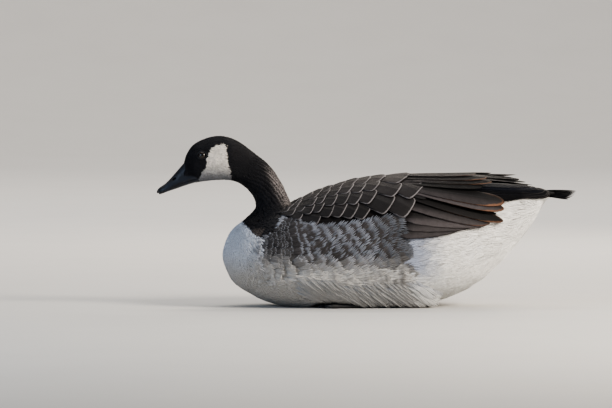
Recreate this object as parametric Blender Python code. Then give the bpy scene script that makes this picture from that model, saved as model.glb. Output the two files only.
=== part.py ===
"""Canada goose, life size, resting on its belly with its feet tucked under.

The frame: +Z up, -X towards the bill, the floor at z = 0, the origin under the middle of the bird,
so that the bird's left side is at -Y. The skin is one loft of rings from the bill's base to the tail.
Each ring stands between a point of the upper outline and a point of the lower one. What grows on the
bird is placed on that skin by its way along the bird and its angle round the ring. Everything with two
sides is worked out at +Y and mirrored for the left.
"""

import math

import bpy
import numpy as np

MM = 0.001
GAP = 0.3
SIDES = (("left", -1), ("right", 1))

# Driving sizes, in millimetres.
EYE_RADIUS = 6.0
EYE_PLACE = (-231.5, 212.0)
EYE_DEPTH = 3.4
LID_RADIUS = 5.5
LID_THICKNESS = 1.5
LID_FLATNESS = 0.86
LID_DEPTH = 0.2
BILL_ARCH = 0.8
BILL_HOOK = (1.0, 1.8)
LOWER_BILL_INSET = 1.2
NOSTRIL_PLACE = (-269.6, 178.2)
NOSTRIL_LENGTH = 6.5
NOSTRIL_HEIGHT = 2.4
NOSTRIL_WALL = 5.2
NOSTRIL_REACH = 16.0
THIGH_RADIUS = 8.0
SHANK_RADIUS = 6.6
KNEE_RADIUS = 6.4
HEEL_RADIUS = 5.2
TARSUS_LENGTH = 78.0
TARSUS_RADIUS = 4.6
FOOT_SIDE = 57.0
HEEL_X = 84.0
INNER_TOE = 56.0
MIDDLE_TOE = 74.0
OUTER_TOE = 68.0
TOE_SPREAD = 15.0
TOE_FLATNESS = 0.9
WEB_FLOOR = 1.2
WEB_THICKNESS = 2.0
WEB_REACH = 0.78
WEB_NOTCH = 7.0
HIND_TOE_RADII = (2.6, 2.4, 1.0)
POCKET_MARGIN = 2.5
POCKET_ROOM = 2.0
SOCKET_ROOM = (0.5, 0.5, 1.2, 2.0)
WING_SEAT = 1.0
WING_FRONT = -84.0
WING_CORE_END = 98.0
RIGHT_WING_BACK = 36.0
RIGHT_WING_RISE = 2.0
LENGTH_PLAY = 1.5
VANE_THICKNESS = 1.1
VANE_EDGE = 0.55
VANE_CAMBER = 0.3
VANE_SINK = 1.0
COVERT_TILT = 0.9
FLIGHT_TILT = 1.3
PRIMARY_TILT = 0.8
TAIL_TILT = 0.5
TAIL_PAIRS = 6
TAIL_STEP = 0.95
TAIL_HALF_WIDTH = 6.6
TAIL_ROOT = (251.0, 17.0)
TAIL_TIP = (294.4, 30.0)
TAIL_ROUNDING = 15.0
TAIL_TOP = 156.0
TAIL_ARCH = 5.0
TAIL_DROOP = 3.0
TAIL_LIFT = 2.5

# Stations of the skin: name, upper outline (x, z), lower outline (x, z), half width, drop of the widest
# line below the middle.
STATIONS = (
    ("bill_base", -256.0, 200.0, -240.5, 172.8, 13.5, 1.0),
    ("forehead", -252.0, 212.0, -233.0, 174.2, 18.0, 1.0),
    ("brow", -242.5, 225.0, -224.0, 175.6, 21.5, 1.0),
    ("crown", -225.0, 234.6, -212.0, 177.0, 24.0, 2.0),
    ("cheek", -203.0, 238.0, -198.0, 177.2, 25.5, 3.0),
    ("nape", -183.0, 232.2, -186.0, 175.6, 24.5, 2.0),
    ("neck_top", -160.0, 216.2, -175.0, 170.6, 23.0, 0.0),
    ("neck_bend", -134.0, 194.0, -162.0, 158.8, 22.5, 0.0),
    ("neck_middle", -118.5, 170.5, -155.8, 147.0, 24.0, 0.0),
    ("neck_base", -109.0, 150.0, -156.5, 135.0, 29.0, 0.0),
    ("collar", -104.0, 139.2, -171.0, 120.5, 38.0, 0.0),
    ("crop", -100.0, 143.0, -190.5, 103.5, 55.0, 0.0),
    ("breast", -92.5, 148.6, -200.8, 78.0, 70.0, 0.0),
    ("breast_low", -77.0, 156.0, -193.5, 45.0, 84.0, 0.0),
    ("shoulder", -51.0, 165.0, -160.0, 16.0, 95.0, 2.0),
    ("keel_front", -16.0, 174.6, -98.0, -3.0, 102.0, 4.0),
    ("keel", 34.0, 180.4, -10.0, -4.5, 104.0, 6.0),
    ("keel_rear", 76.0, 180.0, 62.0, -1.0, 99.5, 6.0),
    ("hip", 120.0, 177.0, 120.0, 14.0, 87.0, 4.0),
    ("vent", 160.0, 173.4, 166.0, 41.0, 70.0, 0.0),
    ("undertail", 192.0, 169.5, 204.0, 78.0, 51.0, 0.0),
    ("rump", 214.0, 166.0, 233.0, 117.0, 36.0, 0.0),
    ("tail_root", 229.0, 164.0, 252.0, 148.0, 26.0, 0.0),
)
NAMES = [row[0] for row in STATIONS]
ROWS = np.array([row[1:] for row in STATIONS], float)
BODY_ROUNDNESS = 0.93

# The bill, from its base to its tip: upper outline, mouth line and lower outline (x, z), half width.
BILL = (
    ((-256.0, 200.0), (-243.0, 177.2), (-240.5, 172.8), 13.4),
    ((-262.6, 192.4), (-254.0, 173.8), (-252.0, 169.4), 12.4),
    ((-269.4, 184.6), (-264.0, 170.2), (-262.4, 165.8), 11.4),
    ((-276.0, 177.2), (-272.4, 166.8), (-271.0, 162.9), 11.0),
    ((-282.0, 171.4), (-279.4, 163.6), (-278.4, 160.4), 10.8),
    ((-287.0, 168.0), (-285.0, 160.9), (-284.0, 158.2), 9.8),
    ((-290.8, 165.2), (-289.0, 159.2), (-288.0, 156.9), 7.0),
    ((-293.2, 161.8), (-291.2, 158.4), (-289.8, 156.6), 3.2),
)

# The tail's stump behind its root: x, z, half width and half height.
STUMP = ((256.0, 157.0, 22.0, 5.0), (263.0, 157.5, 21.0, 2.2))

# A toe from its root to its claw: share of its length and radius.
TOE = ((-0.05, 3.4), (0.2, 3.9), (0.36, 3.2), (0.52, 3.6), (0.68, 2.9), (0.82, 3.1), (0.9, 2.0), (1.0, 0.8))

# The shapes of vanes from root to tip: shares of the length, the width, the thickness and the rise from
# the root's height to the tip's.
COVERT_SHAPE = ((0.0, 0.3, 0.7, 0.0), (0.4, 1.0, 1.0, 0.55), (0.84, 0.84, 0.8, 0.9), (1.0, 0.32, 0.5, 1.0))
FLIGHT_SHAPE = (
    (0.0, 0.3, 0.8, 0.0),
    (0.25, 0.85, 1.0, 0.35),
    (0.62, 1.0, 0.9, 0.7),
    (0.9, 0.72, 0.7, 0.93),
    (1.0, 0.24, 0.45, 1.0),
)
TAIL_SHAPE = ((0.0, 0.5, 1.0, 0.0), (0.5, 1.0, 1.0, 0.5), (0.88, 0.8, 0.8, 0.9), (1.0, 0.3, 0.5, 1.0))

# The wing's core over x: its upper and lower edge in degrees round from the back, and its height.
CORE_EDGES = (
    (-84.0, 34.0, 52.0, 1.6),
    (-72.0, 18.0, 66.0, 2.0),
    (-55.0, 11.0, 71.0, 2.4),
    (-10.0, 10.0, 73.0, 2.8),
    (40.0, 10.0, 75.0, 4.0),
    (66.0, 10.0, 79.0, 5.2),
    (84.0, 10.0, 78.0, 4.4),
    (98.0, 10.0, 72.0, 3.0),
)
CORE_STATIONS = 13
CORE_CROWDING = 1.25
CORE_BARS = 7
CORE_RIM = 1.0

# Tiers of scapulars and coverts from front to back: x of the highest and of the lowest tip, degrees
# round from the back of those tips, length, half width and rise of the tips over the core.
COVERTS_IN_TIER = 5
COVERT_TIERS = (
    (-42.0, -52.0, 17.0, 60.0, 27.0, 10.5, 2.8),
    (-16.0, -36.0, 16.0, 66.0, 36.0, 12.0, 3.3),
    (14.0, -14.0, 16.0, 69.0, 42.0, 12.5, 3.3),
    (46.0, 12.0, 16.0, 71.0, 48.0, 13.5, 3.5),
    (82.0, 46.0, 16.0, 74.0, 56.0, 14.5, 4.4),
)
COVERT_LEAN = (1.0, 8.0)

# The fan of secondaries and tertials over the share from the lowest to the highest: x and degrees of
# the root, x and degrees of the tip, height of the root and of the tip, half width.
FAN_COUNT = 8
FAN = (
    (0.0, 48.0, 72.0, 134.0, 78.0, 2.8, 3.6, 13.0),
    (0.375, 62.0, 59.0, 185.0, 86.0, 4.9, 8.2, 15.0),
    (0.6, 69.0, 44.0, 182.0, 66.0, 5.2, 10.0, 16.0),
    (1.0, 58.0, 18.0, 163.0, 18.0, 4.2, 14.4, 16.0),
)

# The primaries over the share from the longest to the shortest, in the same columns.
PRIMARY_COUNT = 5
PRIMARIES = (
    (0.0, 86.0, 32.0, 244.0, 66.0, 2.6, 2.8, 11.5),
    (1.0, 82.0, 17.0, 200.0, 22.0, 3.6, 7.2, 11.0),
)


def station_ways():
    """The way along the bird of each station: the distance over the middles of the rings."""
    middles = (ROWS[:, 0:2] + ROWS[:, 2:4]) / 2
    steps = np.linalg.norm(np.diff(middles, axis=0), axis=1)
    return np.concatenate([[0.0], np.cumsum(steps)])


WAYS = station_ways()
SLOPES = np.gradient(ROWS, WAYS, axis=0)


def way_of(name, share=0.0):
    """The way of a station, or of a place that share of the way on to the next one."""
    index = NAMES.index(name)
    after = min(index + 1, len(WAYS) - 1)
    return WAYS[index] + share * (WAYS[after] - WAYS[index])


def row_at(way):
    """The station row at any way, by cubic Hermite curves. Past the ends it runs on straight."""
    way = np.atleast_1d(np.asarray(way, float))
    index = np.clip(np.searchsorted(WAYS, way, side="right") - 1, 0, len(WAYS) - 2)
    span = (WAYS[index + 1] - WAYS[index])[:, None]
    t = (way[:, None] - WAYS[index][:, None]) / span
    inside = np.clip(t, 0.0, 1.0)
    a, b = ROWS[index], ROWS[index + 1]
    ma, mb = SLOPES[index] * span, SLOPES[index + 1] * span
    t2, t3 = inside**2, inside**3
    value = (2 * t3 - 3 * t2 + 1) * a + (t3 - 2 * t2 + inside) * ma
    value += (3 * t2 - 2 * t3) * b + (t3 - t2) * mb
    over = t - inside
    return value + over * np.where(over > 0, mb, ma)


def skin(way, angle):
    """Points of the skin. The angle is 0 on the back, 90 degrees on the right side, 180 on the belly."""
    way, angle = np.broadcast_arrays(np.asarray(way, float), np.asarray(angle, float))
    row = row_at(way.ravel()).reshape(way.shape + (6,))
    c, s = np.cos(angle), np.sin(angle)
    high = np.sign(c) * np.abs(c) ** BODY_ROUNDNESS
    wide = np.sign(s) * np.abs(s) ** BODY_ROUNDNESS
    top, bottom = row[..., 0:2], row[..., 2:4]
    half = (top - bottom) / 2
    length = np.linalg.norm(half, axis=-1)
    drop = row[..., 5] * s**2 / np.maximum(length, 1e-6)
    middle = (top + bottom) / 2 + half * (high - drop)[..., None]
    z = np.maximum(middle[..., 1], 0.0)
    return np.stack([middle[..., 0], row[..., 4] * wide, z], axis=-1)


def surface_frame(surface, u, v):
    """A surface's point, its unit normal, and its steps per unit of each of its two coordinates."""
    du, dv = 0.5, 0.01
    along = (surface(u + du, v) - surface(u - du, v)) / (2 * du)
    around = (surface(u, v + dv) - surface(u, v - dv)) / (2 * dv)
    normal = np.cross(along, around)
    normal /= np.maximum(np.linalg.norm(normal, axis=-1, keepdims=True), 1e-9)
    return surface(u, v), normal, along, around


def ring_plane_normal(way):
    """The unit normal of a ring's plane, towards the tail."""
    top_x, top_z, low_x, low_z = row_at(way)[0][:4]
    across = np.array([top_x - low_x, 0.0, top_z - low_z])
    normal = np.cross([0.0, 1.0, 0.0], across)
    return normal / np.linalg.norm(normal)


BODY_WAYS = np.linspace(way_of("breast"), way_of("tail_root") + 60.0, 400)


def place(x, degrees):
    """The way and the angle of the body's skin at x, that many degrees round from the back."""
    angle = math.radians(degrees)
    xs = skin(BODY_WAYS, np.full(BODY_WAYS.shape, angle))[:, 0]
    return np.array([np.interp(x, xs, BODY_WAYS), angle])


def colour_material(name, colour, roughness):
    """A plain Principled material."""
    material = bpy.data.materials.new(name)
    material.use_nodes = True
    shader = material.node_tree.nodes["Principled BSDF"]
    shader.inputs["Base Color"].default_value = (*colour, 1.0)
    shader.inputs["Roughness"].default_value = roughness
    material.diffuse_color = (*colour, 1.0)
    return material


def solid(name, points, faces, material=None):
    """A mesh object from points in millimetres."""
    mesh = bpy.data.meshes.new(name)
    mesh.from_pydata((np.asarray(points, float) * MM).tolist(), [], [list(f) for f in faces])
    mesh.validate()
    mesh.shade_smooth()
    obj = bpy.data.objects.new(name, mesh)
    bpy.context.scene.collection.objects.link(obj)
    if material:
        mesh.materials.append(material)
    return obj


def outward(points, faces):
    """The faces, turned over where they point inwards."""
    points = np.asarray(points) - np.mean(points, axis=0)
    corners = points[np.array(faces)]
    if np.linalg.det(corners).sum() < 0:
        return [f[::-1] for f in faces]
    return faces


def rings_solid(rings):
    """Points and faces of a closed loft through rings of equal counts, with a fan on each end."""
    rings = np.asarray(rings, float)
    count, around = rings.shape[:2]
    points = rings.reshape(-1, 3)
    faces = []
    for i in range(count - 1):
        for j in range(around):
            a, b = i * around + j, i * around + (j + 1) % around
            c, d = b + around, a + around
            faces += [(a, d, c), (a, c, b)]
    first, last = len(points), len(points) + 1
    points = np.vstack([points, rings[0].mean(0), rings[-1].mean(0)])
    base = (count - 1) * around
    for j in range(around):
        k = (j + 1) % around
        faces.append((first, j, k))
        faces.append((last, base + k, base + j))
    return points, outward(points, faces)


def combine(base, others, operation):
    """Joins or cuts closed objects by one Boolean on a collection, and removes the others."""
    group = bpy.data.collections.new(base.name + "_pieces")
    for other in others:
        group.objects.link(other)
    modifier = base.modifiers.new("combine", "BOOLEAN")
    modifier.operation = operation
    modifier.operand_type = "COLLECTION"
    modifier.collection = group
    modifier.solver = "MANIFOLD"
    graph = bpy.context.evaluated_depsgraph_get()
    made = bpy.data.meshes.new_from_object(base.evaluated_get(graph))
    base.modifiers.clear()
    base.data = made
    for other in others:
        bpy.data.objects.remove(other)
    bpy.data.collections.remove(group)
    keep_largest(base)


def keep_largest(obj):
    """Keeps the object's largest closed surface."""
    mesh = obj.data
    parent = list(range(len(mesh.vertices)))

    def root(i):
        while parent[i] != i:
            parent[i] = parent[parent[i]]
            i = parent[i]
        return i

    for edge in mesh.edges:
        a, b = root(edge.vertices[0]), root(edge.vertices[1])
        if a != b:
            parent[a] = b
    groups = {}
    for face in mesh.polygons:
        groups.setdefault(root(face.vertices[0]), []).append(face)
    if len(groups) < 2:
        return

    def size(faces):
        total = 0.0
        for face in faces:
            total += face.center.dot(face.normal) * face.area
        return abs(total)

    best = max(groups.values(), key=size)
    used = sorted({v for face in best for v in face.vertices})
    renumber = {v: i for i, v in enumerate(used)}
    points = [mesh.vertices[v].co[:] for v in used]
    faces = [[renumber[v] for v in face.vertices] for face in best]
    kept = bpy.data.meshes.new(obj.name)
    kept.from_pydata(points, [], faces)
    for material in mesh.materials:
        kept.materials.append(material)
    kept.shade_smooth()
    obj.data = kept


def turned(points, faces, side):
    """The points and faces as they are for the right side, and mirrored for the left."""
    if side > 0:
        return points, faces
    return np.asarray(points) * [1, -1, 1], [tuple(f)[::-1] for f in faces]


def skin_length(name, start, end, count, around, material, start_gap=True):
    """A length of the skin as a closed solid, parted from the one before it by a thin flat gap."""
    angles = np.linspace(0, 2 * math.pi, around, endpoint=False)
    rings = [skin(np.full(around, way), angles) for way in np.linspace(start, end, count)]
    if start_gap:
        rings[0] = rings[0] + ring_plane_normal(start) * GAP
    return solid(name, *rings_solid(rings), material)


def ball(centre, radius, segments=18, rows=10):
    """Points and faces of a closed sphere with its poles along Y."""
    rings = []
    for i in range(1, rows):
        tilt = math.pi * i / rows
        turns = 2 * math.pi * np.arange(segments) / segments
        across = radius * math.sin(tilt)
        ring = np.stack(
            [across * np.cos(turns), np.full(segments, radius * math.cos(tilt)), across * np.sin(turns)],
            axis=-1,
        )
        rings.append(centre + ring)
    points, faces = rings_solid(rings)
    points[-2] = centre + np.array([0.0, radius, 0.0])
    points[-1] = centre - np.array([0.0, radius, 0.0])
    return points, faces


def tube(path, radii, sides=8, flatness=1.0):
    """Points and faces of a closed tube, with a radius at each point and its height times flatness."""
    path = np.asarray(path, float)
    turns = 2 * math.pi * (np.arange(sides) + 0.5) / sides
    rings = []
    for i, centre in enumerate(path):
        before, after = path[max(i - 1, 0)], path[min(i + 1, len(path) - 1)]
        run = (after - before) / np.linalg.norm(after - before)
        side = np.cross([0.0, 0.0, 1.0], run)
        if np.linalg.norm(side) < 0.2:
            side = np.array([0.0, 1.0, 0.0])
        side /= np.linalg.norm(side)
        up = np.cross(run, side)
        ring = np.outer(np.cos(turns), side) + flatness * np.outer(np.sin(turns), up)
        rings.append(centre + radii[i] * ring)
    return rings_solid(rings)


def skin_place(x, z):
    """The way and angle of the right side's point that lies nearest (x, z) as seen from the side."""
    ways, angles = np.meshgrid(np.linspace(WAYS[0], WAYS[-1], 500), np.linspace(0.02, math.pi - 0.02, 200))
    points = skin(ways, angles)
    nearest = np.hypot(points[..., 0] - x, points[..., 2] - z).argmin()
    return ways.ravel()[nearest], angles.ravel()[nearest]


def eye_centre():
    """The right eyeball's middle, set into the head by EYE_DEPTH, and the way out of the head there."""
    point, normal, _, _ = surface_frame(skin, *skin_place(*EYE_PLACE))
    return point - normal * EYE_DEPTH, normal


def lid_ring(centre, out):
    """The raised rim of the lids round the right eye, as a closed ring."""
    side = np.cross([0.0, 0.0, 1.0], out)
    side /= np.linalg.norm(side)
    up = np.cross(out, side)
    steps, sides = 20, 8
    points = []
    for i in range(steps):
        turn = 2 * math.pi * i / steps
        radial = math.cos(turn) * side + math.sin(turn) * up * LID_FLATNESS
        middle = centre + radial * LID_RADIUS + out * (EYE_DEPTH - LID_DEPTH)
        for j in range(sides):
            roll = 2 * math.pi * j / sides
            points.append(middle + LID_THICKNESS * (math.cos(roll) * radial + math.sin(roll) * out))
    faces = []
    for i in range(steps):
        for j in range(sides):
            a, b = i * sides + j, i * sides + (j + 1) % sides
            c, d = ((i + 1) % steps) * sides + (j + 1) % sides, ((i + 1) % steps) * sides + j
            faces += [(a, d, c), (a, c, b)]
    return np.array(points), outward(points, faces)


def make_head(material):
    """The head from the bill's base to the nape, with lids raised round its two eye sockets."""
    head = skin_length("head", way_of("bill_base"), way_of("nape", 0.3), 16, 28, material, start_gap=False)
    centre, out = eye_centre()
    lids = []
    sockets = []
    for _, side in SIDES:
        lids.append(solid("lid", *turned(*lid_ring(centre, out), side)))
        sockets.append(solid("socket", *turned(*ball(centre, EYE_RADIUS + GAP), side)))
    combine(head, lids, "UNION")
    combine(head, sockets, "DIFFERENCE")


def make_eyes(material):
    """An eyeball in each socket."""
    centre, _ = eye_centre()
    for name, side in SIDES:
        solid("eye_" + name, *turned(*ball(centre, EYE_RADIUS), side), material)


def bill_rings(upper):
    """Rings of one half of the bill, flat along the mouth line and arched away from it."""
    rings = []
    turns = np.linspace(0.0, math.pi, 15)
    for culmen, mouth, chin, half_width in BILL:
        culmen, mouth, chin = (np.array([p[0], 0.0, p[1]]) for p in (culmen, mouth, chin))
        rise = culmen - chin
        rise /= np.linalg.norm(rise)
        if upper:
            foot, far, width = mouth + rise * GAP / 2, culmen, half_width
        else:
            foot, far, width = mouth - rise * GAP / 2, chin, half_width - LOWER_BILL_INSET
        ring = []
        for turn in turns:
            high = abs(math.sin(turn)) ** BILL_ARCH
            ring.append(foot + (far - foot) * high + np.array([0.0, width * math.cos(turn), 0.0]))
        for share in (-0.5, 0.0, 0.5):
            ring.append(foot + np.array([0.0, width * share, 0.0]))
        rings.append(ring)
    return np.array(rings)


def nostril():
    """A slot in the right wall of the bill, closed inside, along the bill's own slope."""
    slope = np.array([BILL[5][0][0] - BILL[0][0][0], 0.0, BILL[5][0][1] - BILL[0][0][1]])
    slope /= np.linalg.norm(slope)
    up = np.array([slope[2], 0.0, -slope[0]])
    turns = 2 * math.pi * np.arange(10) / 10
    oval = np.outer(np.cos(turns), slope) * NOSTRIL_LENGTH / 2
    oval += np.outer(np.sin(turns), up) * NOSTRIL_HEIGHT / 2
    centre = np.array([NOSTRIL_PLACE[0], 0.0, NOSTRIL_PLACE[1]])
    rings = [centre + oval + np.array([0.0, y, 0.0]) for y in (NOSTRIL_WALL, NOSTRIL_REACH)]
    return rings_solid(rings)


def make_bill(material):
    """The two mandibles, face to face with the head and each other, with nostrils sunk in the upper one."""
    away = -ring_plane_normal(way_of("bill_base")) * GAP
    solid("bill_lower", *rings_solid(bill_rings(False) + away), material)
    rings = bill_rings(True) + away
    hook = rings[-1] * [1.0, 0.5, 1.0] - [BILL_HOOK[0], 0.0, BILL_HOOK[1]]
    upper = solid("bill_upper", *rings_solid(np.concatenate([rings, [hook]])), material)
    slots = [solid("nostril", *turned(*nostril(), side)) for _, side in SIDES]
    combine(upper, slots, "DIFFERENCE")


def make_neck(material):
    """The neck in two lengths."""
    middle = way_of("neck_bend", 0.4)
    skin_length("neck_upper", way_of("nape", 0.3), middle, 8, 24, material)
    skin_length("neck_lower", middle, way_of("collar"), 9, 28, material)


def leg_points():
    """Points inside the belly, at the knee, at the heel and at the root of the toes."""
    heel = np.array([HEEL_X, FOOT_SIDE, TARSUS_RADIUS + 1.2])
    thigh = heel + [-14.0, -9.0, 34.0]
    knee = heel + [2.0, 0.0, 3.0]
    toes = heel + [-TARSUS_LENGTH, 0.0, -1.0]
    return thigh, knee, heel, toes


def toe_lines(root):
    """Middle lines and radii of the three front toes, each with its knuckles and a claw."""
    lines = []
    floor = TOE[1][1] * TOE_FLATNESS
    for turn, length in ((-TOE_SPREAD, INNER_TOE), (0.0, MIDDLE_TOE), (TOE_SPREAD, OUTER_TOE)):
        turn = math.radians(turn)
        away = np.array([-math.cos(turn), math.sin(turn), 0.0])
        points = []
        for share, _ in TOE:
            point = root + away * length * share
            point[2] = floor * (1.0 - 2.2 * max(share - 0.85, 0.0))
            points.append(point)
        lines.append((points, [radius for _, radius in TOE]))
    return lines


def web(root, toes):
    """The thin web between the toes, drawn in between their ends."""
    ends = [line[0][0] + (line[0][-1] - line[0][0]) * WEB_REACH for line in toes]
    outline = [root + [4.0, 0.0, 0.0], ends[0]]
    for a, b in ((ends[0], ends[1]), (ends[1], ends[2])):
        for share in (0.25, 0.5, 0.75):
            point = a + (b - a) * share
            inward = root - point
            inward /= np.linalg.norm(inward)
            outline.append(point + inward * WEB_NOTCH * math.sin(math.pi * share))
        outline.append(b)
    rings = [[(p[0], p[1], z) for p in outline] for z in (WEB_FLOOR, WEB_FLOOR + WEB_THICKNESS)]
    return rings_solid(rings)


def leg_pieces():
    """The right leg's shank and tarsus, and the pieces that grow from them."""
    thigh, knee, heel, toes = leg_points()
    path = [thigh, thigh * 0.4 + knee * 0.6, knee, heel + [-8.0, 0, 0], (heel + toes) / 2, toes]
    radii = [THIGH_RADIUS, SHANK_RADIUS, KNEE_RADIUS, HEEL_RADIUS, TARSUS_RADIUS, TARSUS_RADIUS]
    shank = tube(path, radii, 10)
    lines = toe_lines(toes)
    pieces = [tube(points, radii, 6, TOE_FLATNESS) for points, radii in lines]
    pieces.append(web(toes, lines))
    hind = [toes + [14.0, -1.5, 1.0], toes + [17.0, -7.0, 0.4], toes + [20.0, -12.0, -0.6]]
    pieces.append(tube(hind, HIND_TOE_RADII, 6))
    return shank, pieces


def make_legs(material):
    """The legs folded under the bird: shank in the belly, tarsus along the floor, webbed toes."""
    shank, pieces = leg_pieces()
    for name, side in SIDES:
        leg = solid("leg_" + name, *turned(*shank, side), material)
        combine(leg, [solid("toe", *turned(*piece, side)) for piece in pieces], "UNION")
        for vertex in leg.data.vertices:
            vertex.co.z = max(vertex.co.z, 0.0)


def foot_pocket():
    """The room under the belly for the right foot: its outline, a little larger, to just over it."""
    _, _, heel, root = leg_points()
    spread = math.radians(TOE_SPREAD)
    inner = root + INNER_TOE * np.array([-math.cos(spread), -math.sin(spread), 0.0])
    outer = root + OUTER_TOE * np.array([-math.cos(spread), math.sin(spread), 0.0])
    beside = POCKET_MARGIN + TOE[1][1]
    front = root[0] - MIDDLE_TOE - POCKET_MARGIN
    outline = [
        (heel[0] + 12.0, heel[1] - 9.0),
        (root[0] + 24.0, root[1] - 16.0),
        (inner[0] - POCKET_MARGIN, inner[1] - beside),
        (front, root[1] - 8.0),
        (front, root[1] + 8.0),
        (outer[0] - POCKET_MARGIN, outer[1] + beside),
        (root[0] + 4.0, root[1] + 9.0),
        (heel[0] + 12.0, heel[1] + 30.0),
    ]
    heights = (-8.0, heel[2] + TARSUS_RADIUS + POCKET_ROOM)
    return rings_solid([[(x, y, z) for x, y in outline] for z in heights])


def leg_socket():
    """The room in the belly for the right shank, from just over its upper end down past the knee."""
    thigh, knee, _, _ = leg_points()
    run = (thigh - knee) / np.linalg.norm(thigh - knee)
    path = [thigh + run * GAP, thigh * 0.4 + knee * 0.6, knee, knee + [2.0, 0.0, -12.0]]
    radii = np.array([THIGH_RADIUS, SHANK_RADIUS, KNEE_RADIUS, KNEE_RADIUS]) + SOCKET_ROOM
    return tube(path, radii, 10)


def torso_ways():
    """The ways of the torso's rings, close together where the rings fan out round the breast."""
    fan = np.linspace(way_of("collar"), way_of("shoulder"), 15)
    rest = np.linspace(way_of("shoulder"), way_of("tail_root"), 18)
    return np.concatenate([fan, rest[1:]])


def make_torso(material):
    """The torso, with a pocket and a socket under the belly for each leg."""
    around = 36
    angles = np.linspace(0, 2 * math.pi, around, endpoint=False)
    rings = [skin(np.full(around, way), angles) for way in torso_ways()]
    rings[0] = rings[0] + ring_plane_normal(way_of("collar")) * GAP
    torso = solid("torso", *rings_solid(rings), material)
    rooms = []
    for _, side in SIDES:
        rooms.append(solid("pocket", *turned(*foot_pocket(), side)))
        rooms.append(solid("socket", *turned(*leg_socket(), side)))
    combine(torso, rooms, "DIFFERENCE")


def vane(surface, root, tip, half_width, heights, shape, tilt):
    """Points and faces of a feather's vane laid on a surface from its root to its tip.

    The two heights over the surface are the root's and the tip's. Each ring has a low and a high point at
    one edge, at the shaft and at the other edge, so that the upper and the lower face are split alike.
    """
    root, tip = np.asarray(root, float), np.asarray(tip, float)
    points = []
    for share, wide, thick, rise in shape:
        u, v = root + (tip - root) * share
        _, normal, along, around = surface_frame(surface, u, v)
        run = along * (tip - root)[0] + around * (tip - root)[1]
        side = np.cross(normal, run)
        side /= np.linalg.norm(side)
        step = np.linalg.lstsq(np.stack([along, around], axis=1), side, rcond=None)[0]
        height = heights[0] + (heights[1] - heights[0]) * rise
        for across in (-1, 0, 1):
            reach = half_width * wide * across
            point, normal, _, _ = surface_frame(surface, u + step[0] * reach, v + step[1] * reach)
            lift = height + tilt * wide * across + VANE_CAMBER * (1 - across**2)
            half = VANE_THICKNESS * thick * (VANE_EDGE if across else 1.0) / 2
            points += [point + normal * (lift - half), point + normal * (lift + half)]
    faces = [(0, 1, 3), (0, 3, 2), (2, 3, 5), (2, 5, 4)]
    for ring in range(len(shape) - 1):
        a, b = 6 * ring, 6 * (ring + 1)
        for left, right in ((0, 2), (2, 4)):
            faces += [(a + left, b + right, b + left), (a + left, a + right, b + right)]
            top_left, top_right = left + 1, right + 1
            faces.append((a + top_left, b + top_left, b + top_right))
            faces.append((a + top_left, b + top_right, a + top_right))
        faces += [(a, b, b + 1), (a, b + 1, a + 1)]
        faces += [(a + 4, b + 5, b + 4), (a + 4, a + 5, b + 5)]
    end = 6 * (len(shape) - 1)
    faces += [(end, end + 3, end + 1), (end, end + 2, end + 3)]
    faces += [(end + 2, end + 5, end + 3), (end + 2, end + 4, end + 5)]
    return np.array(points), outward(points, faces)


def core_row(x):
    """The wing core's upper and lower edge in degrees and its height at x."""
    table = np.array(CORE_EDGES)
    return [float(np.interp(x, table[:, 0], table[:, column])) for column in (1, 2, 3)]


def core_height(x, degrees):
    """The height of the wing core's outer face over the skin, lower towards its edges."""
    upper, lower, height = core_row(x)
    share = min(max((degrees - upper) / (lower - upper), 0.0), 1.0)
    swell = math.sin(math.pi * (0.1 + 0.8 * share)) ** 0.5
    return WING_SEAT + CORE_RIM + (height - CORE_RIM) * swell


def wing_core():
    """The folded arm under the feathers: a patch of the skin, lifted off it and given a thickness."""
    outer, inner = [], []
    for share in np.linspace(0.0, 1.0, CORE_STATIONS) ** CORE_CROWDING:
        x = WING_FRONT + (WING_CORE_END - WING_FRONT) * share
        upper, lower, _ = core_row(x)
        for degrees in np.linspace(upper, lower, CORE_BARS):
            point, normal, _, _ = surface_frame(skin, *place(x, degrees))
            inner.append(point + normal * WING_SEAT)
            outer.append(point + normal * core_height(x, degrees))
    points = np.array(outer + inner)
    size = CORE_STATIONS * CORE_BARS
    faces = []
    for i in range(CORE_STATIONS - 1):
        for j in range(CORE_BARS - 1):
            a, b = i * CORE_BARS + j, i * CORE_BARS + j + 1
            c, d = b + CORE_BARS, a + CORE_BARS
            faces += [(a, b, c), (a, c, d)]
            faces += [(size + a, size + c, size + b), (size + a, size + d, size + c)]
    rim = [i * CORE_BARS for i in range(CORE_STATIONS)]
    rim += [(CORE_STATIONS - 1) * CORE_BARS + j for j in range(1, CORE_BARS)]
    rim += [i * CORE_BARS + CORE_BARS - 1 for i in range(CORE_STATIONS - 2, -1, -1)]
    rim += list(range(CORE_BARS - 2, 0, -1))
    for a, b in zip(rim, rim[1:] + rim[:1]):
        faces += [(a, b, size + b), (a, size + b, size + a)]
    return points, outward(points, faces)


def covert_vanes(draw):
    """The tiers of scapulars and coverts that cover the wing's core."""
    vanes = []
    for high_x, low_x, high_degrees, low_degrees, length, half_width, rise in COVERT_TIERS:
        for share in np.linspace(0.0, 1.0, COVERTS_IN_TIER):
            tip_x = high_x + (low_x - high_x) * share + draw.uniform(-LENGTH_PLAY, LENGTH_PLAY)
            tip_degrees = high_degrees + (low_degrees - high_degrees) * share
            lean = COVERT_LEAN[0] + (COVERT_LEAN[1] - COVERT_LEAN[0]) * share
            root_x, root_degrees = tip_x - length, tip_degrees - lean
            heights = (
                core_height(root_x, root_degrees) - VANE_SINK,
                core_height(tip_x, tip_degrees) + rise,
            )
            ends = place(root_x, root_degrees), place(tip_x, tip_degrees)
            vanes.append(vane(skin, *ends, half_width, heights, COVERT_SHAPE, COVERT_TILT))
    return vanes


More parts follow.
